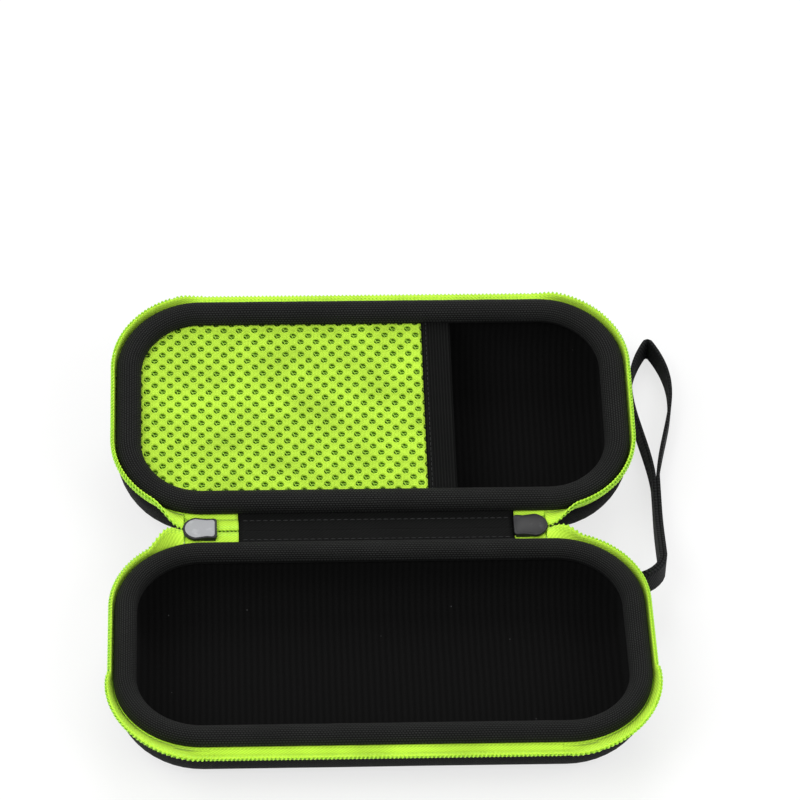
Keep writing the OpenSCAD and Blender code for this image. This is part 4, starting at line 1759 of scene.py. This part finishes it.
@dataclass
class Pocket:
    """Spacer net over the lid's left part, and the elastic along its mouth."""

    layout: Layout
    seat: float = 7.2
    mouth: float = 21.0
    elastic_w: float = 10.4
    step_x: float = 3.0
    step_y: float = 2.9
    lift: float = 0.5
    dip: float = 0.9
    dip_reach: float = 40.0
    ripple: float = 0.3
    ripple_size: float = 18.0
    back_down: float = 1.5
    # Rings about a hole, each by radius and height; the third is the hole's edge
    rings: tuple[Pair, ...] = ((1.95, 0.14), (1.55, 0.2), (1.32, 0.02), (1.26, -0.7))

    def on_lid(self, x: float, y: float, z: float) -> Vector:
        """Return a point of the lid's seam plane, raised by z."""
        return self.layout.places[Half.LID] @ Vector((x, y, z))

    def inside(self, x: float, y: float, inset: float) -> bool:
        """Tell whether a place lies within the lid's outline, moved in by an inset.

        Args:
            x: The place along X.
            y: The place along Y.
            inset: How far the outline is moved in.

        Returns:
            Whether it lies within.
        """
        seam = self.layout.seam
        r = seam.radius - inset
        dx = max(0.0, abs(x) - seam.length / 2 + seam.radius)
        dy = max(0.0, abs(y) - seam.width / 2 + seam.radius)
        return math.hypot(dx, dy) <= r

    def sag(self, x: float, y: float) -> float:
        """Return how high the net lies: it dips towards its middle and ripples at its mouth.

        Args:
            x: The place along X.
            y: The place along Y.

        Returns:
            The height over the seam's plane.
        """
        seam = self.layout.seam
        edge = 1 - (y / (seam.width / 2 - self.seat)) ** 2
        deep = self.dip * edge * eased((x + seam.length / 2 - self.seat) / self.dip_reach)
        wave = self.ripple * rough(2.2, x / self.ripple_size, y / self.ripple_size)
        return self.lift - deep + wave

    def cells(self) -> list[Pair]:
        """Return the middles of the net's holes."""
        seam = self.layout.seam
        found = []
        rows = math.ceil(seam.width / 2 / self.step_y)
        left = math.floor(-seam.length / 2 / self.step_x)
        right = math.ceil(self.mouth / self.step_x)
        for j in range(-rows, rows + 1):
            for i in range(left, right + 1):
                if (i + j) % 2 == 0:
                    x, y = i * self.step_x, j * self.step_y
                    if self.inside(x, y, self.seat) and x < self.mouth + 2:
                        found.append((x, y))
        return found

    def make_net(self) -> None:
        """Knit the net: a diamond for each hole, with a raised rim about it."""
        draft = Draft()
        sides = 16
        tips = [(self.step_x, 0), (0, self.step_y), (-self.step_x, 0), (0, -self.step_y)]
        edge = []
        for k in range(sides):
            corner, part = divmod(4 * k / sides, 1)
            (p, q), (u, v) = tips[int(corner)], tips[(int(corner) + 1) % 4]
            edge.append((p + (u - p) * part, q + (v - q) * part))
        turns = [math.tau * k / sides for k in range(sides)]
        circle = [(math.cos(a), math.sin(a)) for a in turns]
        for x, y in self.cells():
            flat = [(edge, -0.12)]
            wobble = [1 + 0.08 * rough(4.0, x + c * 1.5, y + s * 1.5) for c, s in circle]
            for radius, up in self.rings:
                wide = [radius * w for w in wobble]
                flat.append(([(w * c, w * 1.06 * s) for w, (c, s) in zip(wide, circle)], up))
            rings = [
                [(x + p, y + q, self.sag(x + p, y + q) + up) for p, q in ring] for ring, up in flat
            ]
            draft.grid(
                [[self.on_lid(*p) for p in ring] for ring in rings],
                lambda i, j, rings=rings: rings[i][j % sides][:2],
                closed=True,
            )
        piece = draft.build("pocket_net", NET_CLOTH, merge=True)
        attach(piece, "lid")
        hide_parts("mesh_pocket")
        seam = self.layout.seam
        flat = (seam.length / 2 + self.mouth - self.seat) * MM, (seam.width - 2 * self.seat) * MM

    def make_backing(self) -> None:
        """Knit the net's lower face, its green darkened as painted shade, and the threads that
        hold the two apart.
        """
        seam = self.layout.seam
        xs = spread(-seam.length / 2 + self.seat, self.mouth, 2.0)
        tries = spread(0, seam.width / 2, 0.5)
        rows = []
        for x in xs:
            reach = max((y for y in tries if self.inside(x, y, self.seat)), default=0)
            ys = [reach * s / 20 for s in range(-20, 21)]
            rows.append([self.on_lid(x, y, self.sag(x, y) - self.back_down) for y in ys])
        draft = Draft()
        draft.grid(rows, lambda i, j: (xs[i], j * 2.0))
        # The lower face's darker green is painted shade
        piece = draft.build("pocket_net_back", SHADED_NET_BACK)
        threads = Draft()
        for x, y in self.cells():
            turn = 0.6 + 0.4 * rough(6.0, x, y)
            for s in (-1, 1):
                line = []
                for k in range(5):
                    t = k / 4 * 2 - 1
                    bow = 0.35 * math.sin(math.pi * t) * s
                    dx = 1.15 * t * math.cos(turn) - (bow + 0.3 * s) * math.sin(turn)
                    dy = 1.15 * t * math.sin(turn) + (bow + 0.3 * s) * math.cos(turn)
                    dip = 0.5 + 0.25 * (1 - t * t)
                    line.append(self.on_lid(x + dx, y + dy, self.sag(x, y) - dip))
                threads.tube(line, 0.13, sides=4)
        spacer = threads.build("pocket_net_threads", LIME_THREAD)
        for part in (piece, spacer):
            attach(part, "lid")

    def make_elastic(self) -> None:
        """Lay the elastic across the lid and sew its edge over the net's."""
        seam = self.layout.seam
        half = seam.width / 2 - self.seat
        xs = spread(self.mouth - 0.6, self.mouth + self.elastic_w, 0.9)
        ys = spread(-half, half, 2.5)
        shares = [(x - xs[0]) / (xs[-1] - xs[0]) for x in xs]
        crowns = [0.55 * max(0.0, math.sin(math.pi * t)) ** 0.5 for t in shares]
        rows = []
        for y in ys:
            seat = self.sag(self.mouth, y) + 0.45
            wave = 0.12 * rough(8.0, y / 12)
            rows.append([self.on_lid(x, y, seat + crown + wave) for x, crown in zip(xs, crowns)])
        draft = Draft()
        draft.grid(rows, lambda i, j: (xs[j], ys[i]))
        piece = settle(draft.build("pocket_elastic_band", ELASTIC_CLOTH, thick=0.9))
        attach(piece, "lid")
        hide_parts("pocket_elastic")
        sewn = Draft()
        shape = ((0, -0.2), (0.3, 0), (1.3, 0), (1.6, -0.2))
        for y in spread(-half + 2, half - 4, 2.4):
            z = self.sag(self.mouth, y) + 1.35
            x = self.mouth + 1.0
            sewn.tube([self.on_lid(x, y + s, z + h) for s, h in shape], 0.16, sides=5)
        thread = sewn.build("pocket_stitches", BLACK_THREAD)
        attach(thread, "lid")

    def make(self) -> None:
        """Make the net and its elastic."""
        self.make_net()
        self.make_backing()
        self.make_elastic()


# Wrist strap


@dataclass
class WristStrap:
    """Webbing sewn side by side from its tab, then open in a loop, standing on its edge."""

    pin: Vector
    width: float = 10.0
    thick: float = 1.3
    run: float = 48.0
    loop: float = 76.0
    loop_w: float = 13.0
    start_turn: float = 30.0
    heading: float = 88.0
    bend: float = 14.0
    high: float = 15.0
    tab: float = 6.5
    sewn: float = 2.4
    descent: float = 46.0

    @property
    def arc(self) -> float:
        """Length of the strap's bend beside its tab."""
        return self.bend * math.radians(self.heading - self.start_turn)

    def line(self, s: float) -> tuple[Vector, float]:
        """Return a point of the strap's middle line from above, and its heading.

        Args:
            s: Distance from the pin along the strap.

        Returns:
            The point, and the heading in radians.
        """
        first = math.radians(self.start_turn)
        centre = self.pin + self.bend * Vector((-math.sin(first), math.cos(first), 0))
        if s < self.arc:
            a = first + s / self.bend
            return centre + self.bend * Vector((math.sin(a), -math.cos(a), 0)), a
        a = math.radians(self.heading)
        end = centre + self.bend * Vector((math.sin(a), -math.cos(a), 0))
        return end + (s - self.arc) * Vector((math.cos(a), math.sin(a), 0)), a

    def layer(self, s: float, side: int) -> Vector:
        """Return a point on one of the strap's two layers.

        Args:
            s: Distance from the pin along the strap.
            side: Which layer: 1 or -1.

        Returns:
            The point in millimetres.
        """
        half = self.thick / 2 + 0.12
        t = max(0.0, (s - self.arc - self.run) / (self.loop - self.thick / 2))
        off = half
        if t >= 1:
            off = 0.0
        elif t > 0:
            off += (self.loop_w + self.thick) / 2 * math.sin(math.pi * min(1.0, t**1.6)) ** 0.9
        point, a = self.line(s)
        low = self.width / 2 + 0.25
        up = low + (self.high - low) * (1 - eased(min(1.0, s / self.descent)))
        return Vector((point.x + side * off * math.sin(a), point.y - side * off * math.cos(a), up))

    def make(self) -> None:
        """Sew the strap and its tab."""
        total = self.arc + self.run + self.loop + self.sewn
        count = 70
        shares = [1 - (1 - i / count) ** 1.35 for i in range(count + 1)]
        stops = [total * share - self.sewn for share in shares]
        line = [self.layer(s, 1) for s in stops] + [self.layer(s, -1) for s in stops[-2::-1]]
        lengths = lengths_along(line)
        ups = spread(-self.width / 2, self.width / 2, 1.25)
        rows = [[(p + Vector((0, 0, u))) * MM for u in ups] for p in line]
        draft = Draft()
        draft.grid(rows, lambda i, j: (lengths[i], ups[j]))
        piece = settle(draft.build("wrist_webbing", WEBBING_CLOTH, thick=self.thick))
        a = math.radians(self.start_turn)
        along = Vector((math.cos(a), math.sin(a), 0))
        across = Vector((-along.y, along.x, 0))
        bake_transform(piece)
        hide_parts("wrist_strap")
        back = self.pin - along * (self.thick + 0.45)
        rows = []
        for x in spread(-self.tab - 3.0, 0.0, 0.8):
            round_off = 0.5 * eased((x + 0.9) / 0.9)
            ring = []
            for k in range(16):
                t = math.tau * k / 16
                y = squared(math.cos(t), 0.35) * (self.thick + 0.1 - round_off)
                z = squared(math.sin(t), 0.35) * (self.width / 2 - round_off)
                ring.append((back + along * x + across * y + Vector((0, 0, self.high + z))) * MM)
            rows.append(ring)
        tab = Draft()
        tab.grid(rows, lambda i, j: (i * 0.8, j * 0.8), closed=True, capped=True)
        piece = tab.build("strap_tab_webbing", WEBBING_CLOTH)
        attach(piece, "base")
        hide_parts("strap_tab")


# Studio


@dataclass(frozen=True)
class Studio:
    """Pale floor, soft lamps and the camera of the photograph."""

    elevation: float = 48.6
    azimuth: float = -3.3
    roll: float = 1.7
    distance: float = 1.52
    pixels_per_mm: float = 2.705
    aim: Pair = (382.0, 645.0)
    frame: float = 800.0
    sensor: float = 36.0
    floor: float = 4000.0
    floor_up: float = -0.3
    ambient: float = 0.55
    lamps: tuple[tuple[Vector, float, float], ...] = (
        (Vector((-0.9, -0.5, 1.3)), 1.2, 13.0),
        (Vector((0.9, -0.7, 1.0)), 1.0, 7.0),
        (Vector((0.1, 1.1, 1.2)), 1.0, 9.0),
    )

    def place_camera(self, target: Vector) -> None:
        """Stand the camera so that a point of the base shows where the photograph has it.

        Args:
            target: The point, in metres.
        """
        e, p = math.radians(self.elevation), math.radians(self.azimuth)
        right = Vector((math.cos(p), math.sin(p), 0))
        back = Vector((math.sin(p) * math.cos(e), -math.cos(p) * math.cos(e), math.sin(e)))
        up = back.cross(right)
        focal = self.pixels_per_mm * self.distance * 1000
        turn = Matrix((right, up, back)).transposed().to_4x4()
        turn @= Matrix.Rotation(math.radians(self.roll), 4, "Z")
        turn @= Matrix.Rotation(math.atan((self.aim[0] - self.frame / 2) / focal), 4, "Y")
        turn @= Matrix.Rotation(math.atan((self.aim[1] - self.frame / 2) / focal), 4, "X")
        data = bpy.data.cameras.new("camera")
        data.sensor_width = self.sensor
        data.lens = focal * self.sensor / self.frame
        camera = bpy.data.objects.new("camera", data)
        bpy.context.scene.collection.objects.link(camera)
        camera.matrix_world = Matrix.Translation(target + back * self.distance) @ turn
        bpy.context.scene.camera = camera

    def lay_floor(self) -> None:
        """Lay the floor: it shows near white to the camera and keeps the case's shadow."""
        draft = Draft()
        ends = (-self.floor, self.floor)
        rows = [[Vector((x, y, self.floor_up)) * MM for x in ends] for y in ends]
        draft.grid(rows, lambda i, j: (j * self.floor, i * self.floor))
        floor = draft.build("floor", FLOOR)

    def light(self) -> None:
        """Hang the soft lamps and set the plain world."""
        for i, (place, size, power) in enumerate(self.lamps):
            data = bpy.data.lights.new(f"lamp_{i}", "AREA")
            data.shape, data.size, data.energy = "DISK", size, power
            lamp = bpy.data.objects.new(f"lamp_{i}", data)
            bpy.context.scene.collection.objects.link(lamp)
            turn = place.to_track_quat("Z", "Y").to_matrix().to_4x4()
            lamp.matrix_world = Matrix.Translation(place) @ turn
        world = bpy.data.worlds.new("studio")
        bpy.context.scene.world = world
        world.use_nodes = True
        tree = world.node_tree
        tree.nodes.clear()
        seen = add_node(tree, "ShaderNodeLightPath").outputs["Is Camera Ray"]
        soft, white = (
            add_node(tree, "ShaderNodeBackground", {"Color": (1, 1, 1, 1), "Strength": strength})
            for strength in (self.ambient, 1.0)
        )
        inputs = {0: seen, 1: soft.outputs[0], 2: white.outputs[0]}
        mix = add_node(tree, "ShaderNodeMixShader", inputs)
        add_node(tree, "ShaderNodeOutputWorld", {"Surface": mix.outputs[0]})
        bpy.context.scene.view_settings.view_transform = "Standard"

    def make(self, target: Vector) -> None:
        """Set the whole studio up about a target.

        Args:
            target: The base's middle at its seam, in metres.
        """
        self.place_camera(target)
        self.lay_floor()
        self.light()


def main() -> None:
    """Build the case in order, piece by piece."""
    logging.basicConfig(level=logging.INFO, format="%(message)s")
    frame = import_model()
    layout = Layout.of_frame(frame)
    Studio().make(layout.places[Half.BASE].translation)
    pin = layout.bends["strap_swing"].point / MM
    parts = (
        Shell(Half.BASE, layout, depth=22.6, rounding=22.0),
        Shell(Half.LID, layout, depth=27.0, rounding=29.0, rim_w=9.6),
        ZipHalf(Half.BASE, layout),
        ZipHalf(Half.LID, layout, phase=0.5, front_reach=80.0, fan=6.0, longer=0.0, upright=80.0),
        Hinge(layout),
        Slider(Side.LEFT, layout, 73.4, GREY_ENAMEL),
        Slider(Side.RIGHT, layout, 64.9, BLACK_ENAMEL),
        Pocket(layout),
        WristStrap(Vector((pin.x, pin.y, 0))),
    )
    for part in parts:
        part.make()
        log.info("made: %s", type(part).__name__)
    log.info("all pieces made")


if __name__ == "__main__":
    main()
